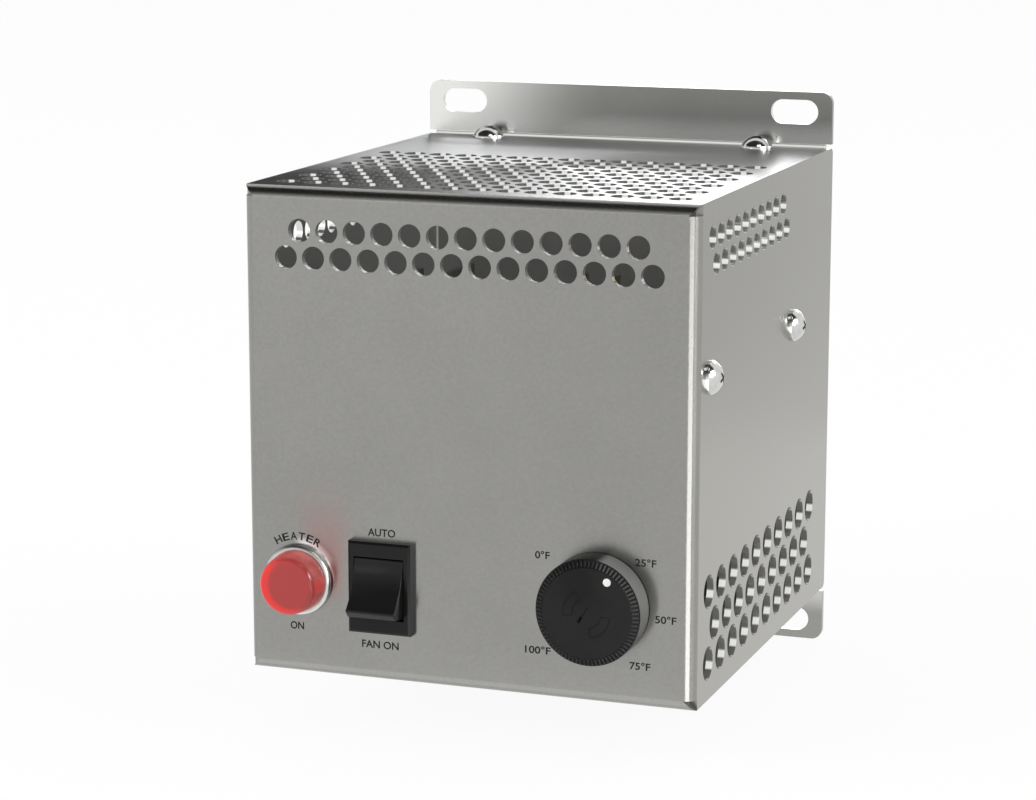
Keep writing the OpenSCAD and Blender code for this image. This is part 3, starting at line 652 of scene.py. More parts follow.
@dataclass(frozen=True)
class RedLens:
    """Translucent red lens, deeper through its front, with painted light round its lower left rim, painted
    highlights and pale light on its side, and a faint painted glow.
    """

    name: str
    centre: Point
    face_r: float
    rim_r: float
    # Colours of the lens and of the painted light and highlights in it
    deep: Colour = (0.30, 0.035, 0.033)
    rim: Colour = (0.58, 0.030, 0.028)
    wall: Colour = (0.36, 0.055, 0.050)
    painted_pale_light: Colour = (0.60, 0.20, 0.19)
    spark: Colour = (0.80, 0.10, 0.09)
    lean_way: Pair = (-0.85, -0.5)
    pale_way: Pair = (0.5, 0.87)
    wall_start: Pair = (0.5, 1.7)
    rim_arc: Pair = (-0.25, 0.55)
    wall_arc: Pair = (-0.2, 0.5)
    spark_arc: Pair = (0.92, 1.0)
    pale_arc: Pair = (0.5, 0.95)
    cloud_scale: float = 420.0
    cloud_rim: float = 0.06
    cloud_blur: float = 0.06
    mottle: Pair = (0.3, 0.7)
    spark_share: float = 0.5
    pale_gain: float = 0.4
    pale_least: float = 0.25
    roughness: float = 0.14
    sheen: float = 0.3
    coat: float = 0.15
    coat_roughness: float = 0.06
    index: float = 1.49
    # Painted glow, standing in for light through the lens
    glow: float = 0.22
    hub: float = 0.1

    def make(self) -> bpy.types.Material:
        """Builds the material."""
        lens = Shade(self.name)
        x, y, z = lens.in_mm(lens.place())
        across, up = x - self.centre[0], z - self.centre[2]
        reach = (across**2.0 + up**2.0).root().larger(self.hub)
        lean = (across * self.lean_way[0] + up * self.lean_way[1]) / reach
        back = (y - self.centre[1]).ramp(*self.wall_start)
        cloud = lens.noise(lens.place(), self.cloud_scale, 2.0)
        crescent = reach.ramp(self.face_r, self.rim_r) * lean.ramp(*self.rim_arc)
        # Lighter side wall away from the lower left, as painted light
        colour = lens.mix(back * (1 - lean.ramp(*self.wall_arc)), self.deep, self.wall)
        # Painted light round the lower left of the rim
        colour = lens.mix(crescent + cloud * self.cloud_rim, colour, self.rim)
        # Painted highlight on the right side
        spark = (across / reach).ramp(*self.spark_arc) * back * self.spark_share
        colour = lens.mix(spark, colour, self.spark)
        # Painted pale light towards the upper right
        pale = (across * self.pale_way[0] + up * self.pale_way[1]) / reach
        pale = pale.ramp(*self.pale_arc) * back
        pale = pale * (cloud.ramp(*self.mottle) * self.pale_gain + self.pale_least)
        colour = lens.mix(pale, colour, self.painted_pale_light)
        # The colour also glows faintly as painted light
        lens.surface(
            Base_Color=colour,
            Roughness=cloud * self.cloud_blur + self.roughness,
            Emission_Color=colour,
            Emission_Strength=self.glow,
            Specular_IOR_Level=self.sheen,
            Coat_Weight=self.coat,
            Coat_Roughness=self.coat_roughness,
            IOR=self.index,
        )
        return lens.material


@dataclass(frozen=True)
class Ink:
    """Screen-printed ink, a little thin in places."""

    name: str
    colour: Colour
    thin: Colour
    scale: float = 2600.0
    wear: Pair = (0.45, 0.8)
    wear_blur: float = 0.15
    roughness: float = 0.42
    sheen: float = 0.12

    def make(self) -> bpy.types.Material:
        """Builds the material."""
        ink = Shade(self.name)
        place = ink.place()
        worn = ink.noise(place, self.scale, 3.0)
        ink.surface(
            Base_Color=ink.mix(worn.ramp(*self.wear), self.colour, self.thin),
            Roughness=worn * self.wear_blur + self.roughness,
            Specular_IOR_Level=self.sheen,
        )
        return ink.material


FINISHES: dict[str, Any] = {
    "housing_steel": SheetSteel("housing_steel_look"),
    "screw_chrome": Plating("screw_chrome_look", (0.64, 0.64, 0.63), (0.54, 0.54, 0.53), 0.1, 0.05),
    "inner_sheet": Plating("inner_sheet_look", (0.42, 0.42, 0.41), (0.33, 0.33, 0.33), 0.34, 0.14, 260.0),
    "zinc_hardware": Plating("zinc_look", (0.58, 0.58, 0.56), (0.46, 0.46, 0.45), 0.26, 0.12),
    "fan_plastic": Moulding("fan_plastic_look", (0.018, 0.018, 0.018), (0.028, 0.028, 0.028), 0.5),
    "winding": Plating("winding_look", (0.42, 0.17, 0.07), (0.30, 0.11, 0.045), 0.35, 0.2, 1500.0),
    "heater_sheath": Plating("heater_sheath_look", (0.20, 0.17, 0.14), (0.12, 0.10, 0.09), 0.42, 0.2, 300.0),
    "heater_fin": Plating("heater_fin_look", (0.40, 0.38, 0.35), (0.30, 0.28, 0.25), 0.38, 0.16, 400.0),
    "bush_ceramic": Moulding("bush_ceramic_look", (0.70, 0.66, 0.57), (0.76, 0.73, 0.65), 0.25),
    "moulded_black": Moulding("moulded_black_look", (0.022, 0.021, 0.020), (0.034, 0.032, 0.030), 0.5),
    "tab_brass": Plating("tab_brass_look", (0.62, 0.46, 0.18), (0.50, 0.36, 0.13), 0.25, 0.14),
    "knob_black": DialPlastic(
        "knob_black_look", (0.010, 0.010, 0.0098), (0.014, 0.014, 0.0137), 0.36, 3600.0, sheen=0.14
    ),
    "pointer_white": Moulding("pointer_white_look", (0.74, 0.73, 0.70), (0.80, 0.79, 0.76), 0.45),
    "switch_black": Moulding(
        "switch_black_look", (0.0065, 0.0065, 0.0065), (0.009, 0.009, 0.009), 0.2, 3200.0, 0.000002, 0.2
    ),
    "lamp_chrome": Plating("lamp_chrome_look", (0.60, 0.60, 0.58), (0.54, 0.54, 0.52), 0.26, 0.08),
    "lens_red": RedLens("lens_red_look", (-38.1, -119.9, -32.3), 4.7, 5.9),
    "earth_green": Moulding("earth_green_look", (0.03, 0.17, 0.04), (0.05, 0.22, 0.06), 0.3),
}
INK = Ink("panel_ink_look", (0.009, 0.009, 0.010), (0.02, 0.02, 0.02))
# Dark colour of the knob's moulded outlines: painted shade in their grooves
GROOVE_SHADE = Ink("groove_shade_look", (0.003, 0.003, 0.003), (0.005, 0.005, 0.005))
# Ridges of the flutes: lighter than the knob as a painted highlight, with a painted highlight towards the upper
# right and painted shade above the axis
RIDGES = DialPlastic(
    "knob_ridge_look",
    (0.018, 0.018, 0.0176),
    (0.026, 0.026, 0.0255),
    0.3,
    3600.0,
    sheen=0.14,
    skirt_r=9.0,
    front=-125.0,
    skirt=(0.085, 0.085, 0.083),
)


class Wardrobe:
    """Makes each finish once and puts it on nodes and pieces."""

    def __init__(self) -> None:
        """Makes every finish."""
        self.made = {slot: finish.make() for slot, finish in FINISHES.items()}
        self.ink = INK.make()
        self.ridge = RIDGES.make()
        self.groove_shade = GROOVE_SHADE.make()

    def dress_nodes(self) -> None:
        """Puts each record slot's finish on its CAD nodes."""
        for entry in frame["record"]["subparts"]:
            node = frame["nodes"][entry["node"]]
            for slot in node.material_slots:
                slot.material = self.made[entry["material_slot"]]

    def finish(
        self, piece: bpy.types.Object, body: Body, slot: str, nodes: Sequence[str] = (), look: Any = None
    ) -> None:
        """Dresses a new piece and fixes it to its body.

        Args:
            piece: The piece.
            body: The body that it rides on.
            slot: The record's material slot that it takes its finish from.
            nodes: CAD nodes that it stands for.
            look: A material in place of the slot's own.
        """
        piece.data.materials.clear()
        piece.data.materials.append(look or self.made[slot])
        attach(piece, body.value)
        if nodes:
            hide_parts(*nodes)
        LOG.info("%s rides on %s", piece.name, body.value)


# Mesh building


def add_piece(name: str, mesh: bpy.types.Mesh) -> bpy.types.Object:
    """Links a mesh as an object at the origin.

    Args:
        name: The piece's name.
        mesh: Its mesh, in the part's frame.

    Returns:
        The object.
    """
    piece = bpy.data.objects.new(name, mesh)
    bpy.context.scene.collection.objects.link(piece)
    return piece


def evaluated(piece: bpy.types.Object) -> bpy.types.Mesh:
    """A plain mesh of an object with its modifiers worked out."""
    graph = bpy.context.evaluated_depsgraph_get()
    return bpy.data.meshes.new_from_object(piece.evaluated_get(graph), depsgraph=graph)


def settle(piece: bpy.types.Object) -> bpy.types.Object:
    """Replaces a piece's mesh and modifiers by the worked-out mesh.

    Args:
        piece: The piece.

    Returns:
        The same piece, with a plain mesh.
    """
    mesh = evaluated(piece)
    piece.modifiers.clear()
    piece.data = mesh
    return piece


def mesh_of(build: Callable[[bmesh.types.BMesh], None], name: str, smooth: bool = True) -> bpy.types.Mesh:
    """Runs a builder on an empty mesh, with outward faces.

    Args:
        build: Adds the geometry, in metres.
        name: The mesh's name.
        smooth: Shades the faces smooth.

    Returns:
        The mesh.
    """
    shape = bmesh.new()
    build(shape)
    bmesh.ops.remove_doubles(shape, verts=shape.verts, dist=1e-7)
    bmesh.ops.recalc_face_normals(shape, faces=shape.faces)
    for face in shape.faces:
        face.smooth = smooth
    mesh = bpy.data.meshes.new(name)
    shape.to_mesh(mesh)
    shape.free()
    return mesh


def lathe(shape: bmesh.types.BMesh, profile: Sequence[Pair], place: Matrix, steps: int) -> None:
    """Turns a profile about Z into a closed form.

    Args:
        shape: The mesh that it is added to.
        profile: Radius and height in mm, from one end of the outline to the other.
        place: Where the form goes.
        steps: Points round the axis.
    """
    rings: list[list[bmesh.types.BMVert]] = []
    for radius, height in profile:
        if radius < 1e-6:
            rings.append([shape.verts.new(place @ Vector((0, 0, height * MM)))])
            continue
        ring = []
        for i in range(steps):
            turn = 2 * math.pi * i / steps
            spot = Vector((radius * MM * math.cos(turn), radius * MM * math.sin(turn), height * MM))
            ring.append(shape.verts.new(place @ spot))
        rings.append(ring)
    for low, high in zip(rings, rings[1:]):
        for i in range(steps):
            j = (i + 1) % steps
            corners = [low[i % len(low)], low[j % len(low)], high[j % len(high)], high[i % len(high)]]
            distinct = list(dict.fromkeys(corners))
            if len(distinct) > 2:
                shape.faces.new(distinct)


def arc(centre: Pair, radius: float, start: float, end: float, steps: int) -> list[Pair]:
    """Points on a circular arc.

    Args:
        centre: The arc's centre.
        radius: Its radius.
        start: First angle in degrees.
        end: Last angle in degrees.
        steps: Number of segments.

    Returns:
        The points in order.
    """
    angles = [math.radians(start + (end - start) * i / steps) for i in range(steps + 1)]
    return [(centre[0] + radius * math.cos(a), centre[1] + radius * math.sin(a)) for a in angles]


def slab(shape: bmesh.types.BMesh, outline: Sequence[Pair], place: Matrix, low: float, high: float) -> None:
    """Extrudes a closed outline along Z.

    Args:
        shape: The mesh that it is added to.
        outline: X and Y in mm.
        place: Where the form goes.
        low: Z of its base in mm.
        high: Z of its top in mm.
    """
    base = [shape.verts.new(place @ Vector((x * MM, y * MM, low * MM))) for x, y in outline]
    top = [shape.verts.new(place @ Vector((x * MM, y * MM, high * MM))) for x, y in outline]
    shape.faces.new(base)
    shape.faces.new(top)
    for i in range(len(outline)):
        j = (i + 1) % len(outline)
        shape.faces.new([base[i], base[j], top[j], top[i]])


def front_place(x: float, y: float, z: float) -> Matrix:
    """Turns +Z to the front (-Y) and +Y up, at a point in mm."""
    return Matrix.Translation(Vector((x, y, z)) * MM) @ Euler((math.radians(90), 0, 0)).to_matrix().to_4x4()


# Geometry Nodes


class Tree:
    """A Geometry Nodes tree under construction, with named inputs."""

    def __init__(self, name: str) -> None:
        """Starts the tree with a geometry input and output.

        Args:
            name: The tree's name.
        """
        self.group = bpy.data.node_groups.new(name, "GeometryNodeTree")
        self.sockets: dict[str, str] = {}
        self.group.interface.new_socket("Geometry", in_out="INPUT", socket_type="NodeSocketGeometry")
        self.group.interface.new_socket("Geometry", in_out="OUTPUT", socket_type="NodeSocketGeometry")
        self.inlet = self.group.nodes.new("NodeGroupInput")
        self.outlet = self.group.nodes.new("NodeGroupOutput")

    def size(self, name: str, value: float, kind: str = "NodeSocketFloat") -> bpy.types.NodeSocket:
        """Adds a named input.

        Args:
            name: The input's name.
            value: Its default.
            kind: Its socket type.

        Returns:
            The socket inside the tree.
        """
        item = self.group.interface.new_socket(name, in_out="INPUT", socket_type=kind)
        item.default_value = value
        self.sockets[name] = item.identifier
        return self.inlet.outputs[name]

    def add(
        self, kind: str, settings: dict[str, Any] | None = None, inputs: dict[Any, Any] | None = None
    ) -> bpy.types.Node:
        """Adds one node.

        Args:
            kind: The node's type.
            settings: Its settings, set first.
            inputs: Values or sockets for its inputs.

        Returns:
            The node.
        """
        node = self.group.nodes.new(kind)
        for key, value in (settings or {}).items():
            setattr(node, key, value)
        for key, value in (inputs or {}).items():
            if isinstance(value, bpy.types.NodeSocket):
                self.group.links.new(value, node.inputs[key])
            else:
                node.inputs[key].default_value = value
        return node

    def maths(self, operation: str, first: Any, second: Any = 0.0) -> bpy.types.NodeSocket:
        """One Math node's result."""
        return self.add("ShaderNodeMath", {"operation": operation}, {0: first, 1: second}).outputs[0]

    def xyz(self, x: Any = 0.0, y: Any = 0.0, z: Any = 0.0) -> bpy.types.NodeSocket:
        """A vector from three numbers."""
        return self.add("ShaderNodeCombineXYZ", {}, {0: x, 1: y, 2: z}).outputs[0]

    def close(self, geometry: bpy.types.NodeSocket, material: bpy.types.Material) -> None:
        """Realizes the instances, sets the material and ends the tree.

        Args:
            geometry: The geometry so far.
            material: The material of all of it.
        """
        solid = self.add("GeometryNodeRealizeInstances", {}, {0: geometry})
        painted = self.add("GeometryNodeSetMaterial", {}, {0: solid.outputs[0], "Material": material})
        self.group.links.new(painted.outputs[0], self.outlet.inputs[0])

    def run(self, name: str, seed_mesh: bpy.types.Mesh, sizes: dict[str, Any]) -> bpy.types.Object:
        """Runs the tree on a mesh and keeps the result as a plain piece.

        Args:
            name: The piece's name.
            seed_mesh: The mesh that the tree starts from.
            sizes: Values for its named inputs.

        Returns:
            The piece.
        """
        piece = add_piece(name, seed_mesh)
        modifier = piece.modifiers.new(name, "NODES")
        modifier.node_group = self.group
        for key, value in sizes.items():
            modifier[self.sockets[key]] = value
        return settle(piece)


# Sub-assemblies


@dataclass
class CaseScrews:
    """Domed pan-head screws with a cross recess, on the top, bottom and sides of the housing."""

    head_d: float = 7.5
    head_h: float = 2.9
    rim_h: float = 0.6
    recess_l: float = 2.7
    recess_w: float = 0.62
    recess_depth: float = 1.1
    facets: int = 96
    rings: int = 64
    sharp: float = 30.0
    seed: int = 11
    top_x: float = 34.1
    top_y: float = -6.2
    top_z: float = HALF_H
    side_x: float = HALF_W
    side_z: float = 16.7
    side_ys: Pair = (-103.5, -35.0)

    def places(self) -> list[tuple[Point, Point]]:
        """Seat and outward direction of each screw."""
        spots: list[tuple[Point, Point]] = []
        for sx in (-1, 1):
            for sz in (-1, 1):
                spots.append(((sx * self.top_x, self.top_y, sz * self.top_z), (0, 0, sz)))
            for y in self.side_ys:
                spots.append(((sx * self.side_x, y, self.side_z), (sx, 0, 0)))
        return spots

    def seats(self) -> bpy.types.Mesh:
        """A mesh of loose points at the seats, with their directions as an attribute."""
        spots = self.places()
        mesh = bpy.data.meshes.new("screw_seats")
        mesh.from_pydata([Vector(seat) * MM for seat, _ in spots], [], [])
        facing = mesh.attributes.new("facing", "FLOAT_VECTOR", "POINT")
        for item, (_, way) in zip(facing.data, spots):
            item.vector = way
        return mesh

    def tree(self, material: bpy.types.Material) -> Tree:
        """The tree that cuts one head and sets it on every seat.

        Args:
            material: The heads' material.

        Returns:
            The tree.
        """
        tree = Tree("case_screw_heads")
        rim = tree.size("Rim Radius", 0.004)
        radius = tree.size("Dome Radius", 0.005)
        height = tree.size("Head Height", 0.002)
        length = tree.size("Recess Length", 0.003)
        width = tree.size("Recess Width", 0.001)
        depth = tree.size("Recess Depth", 0.001)
        seed = tree.size("Seed", 1, "NodeSocketInt")
        ball = tree.add(
            "GeometryNodeMeshUVSphere", {}, {"Segments": self.facets, "Rings": self.rings, "Radius": radius}
        )
        lift = tree.xyz(z=tree.maths("SUBTRACT", height, radius))
        dome = tree.add("GeometryNodeTransform", {}, {0: ball.outputs[0], "Translation": lift})
        tall = tree.maths("MULTIPLY", height, 2.0)
        stem = tree.add(
            "GeometryNodeMeshCylinder", {}, {"Vertices": self.facets, "Radius": rim, "Depth": tall}
        )
        stem = tree.add("GeometryNodeTransform", {}, {0: stem.outputs[0], "Translation": tree.xyz(z=height)})
        blank = tree.add("GeometryNodeMeshBoolean", {"operation": "INTERSECT"}, {1: dome.outputs[0]})
        tree.group.links.new(stem.outputs[0], blank.inputs[1])
        head = tree.add("GeometryNodeSetShadeSmooth", {}, {0: blank.outputs[0]}).outputs[0]
        deep = tree.maths("MULTIPLY", depth, 2.0)
        for size in (tree.xyz(length, width, deep), tree.xyz(width, length, deep)):
            bar = tree.add("GeometryNodeMeshCube", {}, {"Size": size})
            bar = tree.add("GeometryNodeTransform", {}, {0: bar.outputs[0], "Translation": tree.xyz(z=height)})
            cut = tree.add("GeometryNodeMeshBoolean", {"operation": "DIFFERENCE"}, {0: head, 1: bar.outputs[0]})
            head = cut.outputs[0]
        facing = tree.add("GeometryNodeInputNamedAttribute", {"data_type": "FLOAT_VECTOR"}, {0: "facing"})
        aim = tree.add("FunctionNodeAlignRotationToVector", {"axis": "Z"}, {"Vector": facing.outputs[0]})
        spin = tree.add("FunctionNodeRandomValue", {"data_type": "FLOAT"}, {2: 0.0, 3: math.pi, "Seed": seed})
        twist = tree.add("FunctionNodeAxisAngleToRotation", {}, {0: (0, 0, 1), 1: spin.outputs[1]})
        turned = tree.add(
            "FunctionNodeRotateRotation", {"rotation_space": "LOCAL"}, {0: aim.outputs[0], 1: twist.outputs[0]}
        )
        placed = tree.add(
            "GeometryNodeInstanceOnPoints",
            {},
            {"Points": tree.inlet.outputs[0], "Instance": head, "Rotation": turned.outputs[0]},
        )
        tree.close(placed.outputs[0], material)
        return tree

    def build(self, wardrobe: Wardrobe) -> None:
        """Builds and dresses the heads."""
        dome_h = self.head_h - self.rim_h
        dome_r = ((self.head_d / 2) ** 2 + dome_h**2) / (2 * dome_h)
        sizes = {
            "Rim Radius": self.head_d / 2 * MM,
            "Dome Radius": dome_r * MM,
            "Head Height": self.head_h * MM,
            "Recess Length": self.recess_l * MM,
            "Recess Width": self.recess_w * MM,
            "Recess Depth": self.recess_depth * MM,
            "Seed": self.seed,
        }
        heads = self.tree(wardrobe.made["screw_chrome"]).run("case_screw_heads", self.seats(), sizes)
        heads.data.set_sharp_from_angle(angle=math.radians(self.sharp))
        wardrobe.finish(heads, Body.CASE, "screw_chrome", ("top_screws", "bottom_screws", "side_screws"))


@dataclass
class Dial:
    """Black knob with a fluted bevel, a filled pointer dot and faint moulded outlines."""

    x: float = KNOB_X
    z: float = KNOB_Z
    back: float = -112.65
    height: float = 6.95
    radius: float = 11.6
    face_r: float = 10.0
    bevel_h: float = 0.7
    bevel_in: float = 0.5
    bevel_step: float = 0.02
    bevel_out: float = 0.12
    bevel_dip: float = 0.2
    lip_r: float = 0.25
    skirt_t: float = 1.8
    face_t: float = 2.4
    flute_n: int = 78
    flute_w: float = 0.36
    flute_out: float = 0.26
    flute_in: float = 0.12
    flute_share: float = 0.82
    pointer_angle: float = 58.0
    dot_ring: float = 8.4
    dot_r: float = 0.9
    dot_t: float = 0.6
    dot_out: float = 0.06
    dot_round: float = 0.15
    dot_crown: float = 0.02
    dot_steps: int = 40
    kidney_r: Pair = (3.2, 5.2)
    kidney_arcs: tuple[Pair, ...] = ((116.0, 188.0), (-80.0, -6.0))
    line_w: float = 0.13
    line_h: float = 0.02
    line_sunk: float = 0.05
    slot_tail: Pair = (-1.72, -1.84)
    slot_l: float = 3.7
    slot_w: float = 0.26
    slot_foot_l: float = 0.9
    slot_foot_w: float = 0.676
    steps: int = 144
    core_sharp: float = 35.0
    dot_sharp: float = 50.0

    def place(self) -> Matrix:
        """The knob's back centre, with +Z towards the front."""
        return front_place(self.x, self.back, self.z)

    def core_profile(self) -> list[Pair]:
        """Radius and height of the turned form, from inside the skirt to the face's centre."""
        edge = self.height - self.bevel_h
        lip = self.lip_r
        hollow, bore = self.height - self.face_t, self.radius - self.skirt_t
        return [
            (0.0, hollow),
            (bore, hollow),
            (bore, 0.0),
            *arc((self.radius - lip, lip), lip, -90, 0, 4),
            *arc((self.radius - lip, edge - lip), lip, 0, 60, 4),
            (self.radius - self.bevel_in, edge - self.bevel_step),
            (self.face_r + self.bevel_out, self.height - self.bevel_dip),
            *arc((self.face_r - lip, self.height - lip), lip, 20, 90, 4),
            (0.0, self.height),
        ]

    def build_core(self, wardrobe: Wardrobe) -> None:
        """Turns the knob's body."""
        mesh = mesh_of(lambda shape: lathe(shape, self.core_profile(), self.place(), self.steps), "knob_core")
        mesh.set_sharp_from_angle(angle=math.radians(self.core_sharp))
        wardrobe.finish(add_piece("knob_core", mesh), Body.KNOB, "knob_black", ("knob",))

    def flute_tree(self, material: bpy.types.Material) -> Tree:
        """The tree that stands ridges round the bevel.

        Args:
            material: The ridges' material.

        Returns:
            The tree.
        """
        tree = Tree("knob_flutes")
        count = tree.size("Count", 72, "NodeSocketInt")
        ring = tree.size("Ring Radius", 0.01)
        width = tree.size("Ridge Width", 0.0005)
        depth = tree.size("Ridge Depth", 0.0005)
        length = tree.size("Ridge Length", 0.001)
        lean = tree.size("Lean", 0.5)
        circle = tree.add("GeometryNodeMeshCircle", {}, {"Vertices": count, "Radius": ring})
        ridge = tree.add(
            "GeometryNodeMeshCylinder",
            {},
            {"Vertices": 12, "Side Segments": 3, "Radius": tree.maths("MULTIPLY", width, 0.5), "Depth": length},
        )
        smooth = tree.add("GeometryNodeSetShadeSmooth", {}, {0: ridge.outputs[0]})
        flat = tree.maths("DIVIDE", depth, width)
        shaped = tree.add(
            "GeometryNodeTransform",
            {},
            {
                0: smooth.outputs[0],
                "Rotation": tree.xyz(y=tree.maths("MULTIPLY", lean, -1.0)),
                "Scale": tree.xyz(flat, 1.0, 1.0),
            },
        )
        index = tree.add("GeometryNodeInputIndex")
        turn = tree.maths("MULTIPLY", index.outputs[0], tree.maths("DIVIDE", 2 * math.pi, count))
        spin = tree.add("FunctionNodeEulerToRotation", {}, {0: tree.xyz(z=turn)})
        placed = tree.add(
            "GeometryNodeInstanceOnPoints",
            {},
            {"Points": circle.outputs[0], "Instance": shaped.outputs[0], "Rotation": spin.outputs[0]},
        )
        tree.close(placed.outputs[0], material)
        return tree

    def build_flutes(self, wardrobe: Wardrobe) -> None:
        """Stands the flutes round the bevel."""
        run = self.radius - self.face_r
        sizes = {
            "Count": self.flute_n,
            "Ring Radius": ((self.radius + self.face_r) / 2 - self.flute_in) * MM,
            "Ridge Width": self.flute_w * MM,
            "Ridge Depth": self.flute_out * 2 * MM,
            "Ridge Length": math.hypot(run, self.bevel_h) * self.flute_share * MM,
            "Lean": math.atan2(run, self.bevel_h),
        }
        piece = self.flute_tree(wardrobe.ridge).run("knob_flutes", bpy.data.meshes.new("flute_seed"), sizes)
        middle = Matrix.Translation((0, 0, (self.height - self.bevel_h / 2) * MM))
        piece.data.transform(self.place() @ middle)
        wardrobe.finish(piece, Body.KNOB, "knob_black", look=wardrobe.ridge)

    def ribbon(self, path: Sequence[Pair], width: float, closed: bool) -> Callable[[bmesh.types.BMesh], None]:
        """A builder for a raised line along a path on the face.

        Args:
            path: X and Y on the face in mm.
            width: The line's width in mm.
            closed: Joins the ends.

        Returns:
            The builder.
        """

        def build(shape: bmesh.types.BMesh) -> None:
            """Adds the line."""
            low, high = self.height - self.line_sunk, self.height + self.line_h
            count = len(path)
            for i in range(count if closed else count - 1):
                a, b = Vector(path[i]), Vector(path[(i + 1) % count])
                along = (b - a).normalized()
                across = Vector((-along.y, along.x)) * width / 2
                reach = along * width / 2
                box = [a - reach + across, a - reach - across, b + reach - across, b + reach + across]
                slab(shape, [tuple(p) for p in box], self.place(), low, high)

        return build

    def build_marks(self, wardrobe: Wardrobe) -> None:
        """Lays the kidney outlines and the shaft mark on the face."""
        small, large = self.kidney_r

        def build(shape: bmesh.types.BMesh) -> None:
            """Adds every mark."""
            for start, end in self.kidney_arcs:
                loop = arc((0, 0), large, start, end, 16) + arc((0, 0), small, end, start, 12)
                self.ribbon(loop, self.line_w, True)(shape)
            way = math.radians(self.pointer_angle)
            x, y = self.slot_tail
            for length, width in ((self.slot_l, self.slot_w), (self.slot_foot_l, self.slot_foot_w)):
                tip = (x + length * math.cos(way), y + length * math.sin(way))
                self.ribbon([self.slot_tail, tip], width, False)(shape)

        piece = add_piece("knob_marks", mesh_of(build, "knob_marks", smooth=False))
        # The outlines take the painted groove shade, darker than the knob
        wardrobe.finish(piece, Body.KNOB, "knob_black", look=wardrobe.groove_shade)

    def build_dot(self, wardrobe: Wardrobe) -> None:
        """Fills the pointer dot."""
        way = math.radians(self.pointer_angle)
        spot = Matrix.Translation(Vector((math.cos(way), math.sin(way), 0.0)) * self.dot_ring * MM)
        low, top = self.height - self.dot_t, self.height + self.dot_out
        profile = [
            (0.0, low),
            (self.dot_r, low),
            *arc((self.dot_r - self.dot_round, top - self.dot_round), self.dot_round, 0, 90, 4),
            (0.0, top + self.dot_crown),
        ]
        mesh = mesh_of(lambda shape: lathe(shape, profile, self.place() @ spot, self.dot_steps), "knob_pointer")
        mesh.set_sharp_from_angle(angle=math.radians(self.dot_sharp))
        wardrobe.finish(add_piece("knob_pointer", mesh), Body.KNOB, "pointer_white", ("knob_dot",))

    def build(self, wardrobe: Wardrobe) -> None:
        """Builds and dresses the whole knob."""
        self.build_core(wardrobe)
        self.build_dot(wardrobe)
        self.build_flutes(wardrobe)
        self.build_marks(wardrobe)


@dataclass
class RockerSwitch:
    """Paddle of the rocker switch, pressed in at the top."""

    x: float = SWITCH_X
    z: float = SWITCH_Z
    front: float = -DEPTH
    width: float = 11.35
    bezel_t: float = 2.2
    reach: float = 6.6
    dish_r: float = 15.3
    dish_z: float = 7.6
    lip_out: float = 7.4
    lip_z: float = -4.3
    lip_cut: Pair = (1.2, 1.4)
    heel_z: float = -6.2
    heel_out: float = 0.3
    tail: float = -4.5
    tail_half: float = 5.0
    edge: float = 0.6
    edge_steps: int = 4
    edge_limit: float = 30.0
    sharp: float = 40.0

    def outline(self) -> list[Pair]:
        """Side view: distance to the front of the panel, and height over the control line, in mm."""
        centre = (self.bezel_t + self.dish_r, self.dish_z)
        top = math.degrees(math.asin((self.reach - self.dish_z) / self.dish_r))
        meet = self.dish_r + self.bezel_t - self.lip_out
        low = -math.degrees(math.acos(meet / self.dish_r))
        dish = [(2 * centre[0] - px, pz) for px, pz in arc(centre, self.dish_r, top, low, 18)]
        return [
            (self.tail, self.tail_half),
            (0.0, self.reach),
            *dish,
            (self.lip_out, self.lip_z),
            (self.lip_out - self.lip_cut[0], self.lip_z - self.lip_cut[1]),
            (self.bezel_t + self.heel_out, self.heel_z),
            (0.0, self.heel_z),
            (self.tail, -self.tail_half),
        ]

    def build(self, wardrobe: Wardrobe) -> None:
        """Builds and dresses the paddle."""
        turn = Matrix(((0, 0, 1, 0), (-1, 0, 0, 0), (0, 1, 0, 0), (0, 0, 0, 1)))
        place = Matrix.Translation(Vector((self.x, self.front, self.z)) * MM) @ turn
        half = self.width / 2
        mesh = mesh_of(lambda shape: slab(shape, self.outline(), place, -half, half), "rocker_paddle")
        piece = add_piece("rocker_paddle", mesh)
        bevel = piece.modifiers.new("edges", "BEVEL")
        bevel.width = self.edge * MM
        bevel.segments = self.edge_steps
        bevel.limit_method = "ANGLE"
        bevel.angle_limit = math.radians(self.edge_limit)
        settle(piece)
        piece.data.set_sharp_from_angle(angle=math.radians(self.sharp))
        wardrobe.finish(piece, Body.ROCKER, "switch_black", ("rocker",))


@dataclass
class PilotLens:
    """Red lens of the pilot lamp, with a rounded rim."""

    x: float = LAMP_X
    z: float = LAMP_Z
    seat: float = -114.1
    base_r: float = 6.9
    tip_r: float = 6.4
    height: float = 5.8
    round_r: float = 1.1
    crown: float = 0.12
    crown_run: float = 0.6
    crown_step: float = 0.02
    stem_r: float = 5.0
    stem_l: float = 3.0
    chamfer: float = 0.2
    flare: float = 0.04
    steps: int = 96
    sharp: float = 50.0

    def build(self, wardrobe: Wardrobe) -> None:
        """Builds and dresses the lens."""
        top = self.height - self.crown
        hub = (self.tip_r - self.round_r, top - self.round_r)
        profile = [
            (0.0, -self.stem_l),
            (self.stem_r, -self.stem_l),
            (self.stem_r, 0.0),
            (self.base_r - self.chamfer, 0.0),
            (self.base_r, self.chamfer),
            (self.tip_r + self.flare, hub[1]),
            *arc(hub, self.round_r, 8, 90, 10),
            (hub[0] - self.crown_run, top + self.crown_step),
            (0.0, self.height),
        ]
        place = front_place(self.x, self.seat, self.z)
        mesh = mesh_of(lambda shape: lathe(shape, profile, place, self.steps), "pilot_lens")
        mesh.set_sharp_from_angle(angle=math.radians(self.sharp))
        wardrobe.finish(add_piece("pilot_lens", mesh), Body.CASE, "lens_red", ("lamp_lens",))


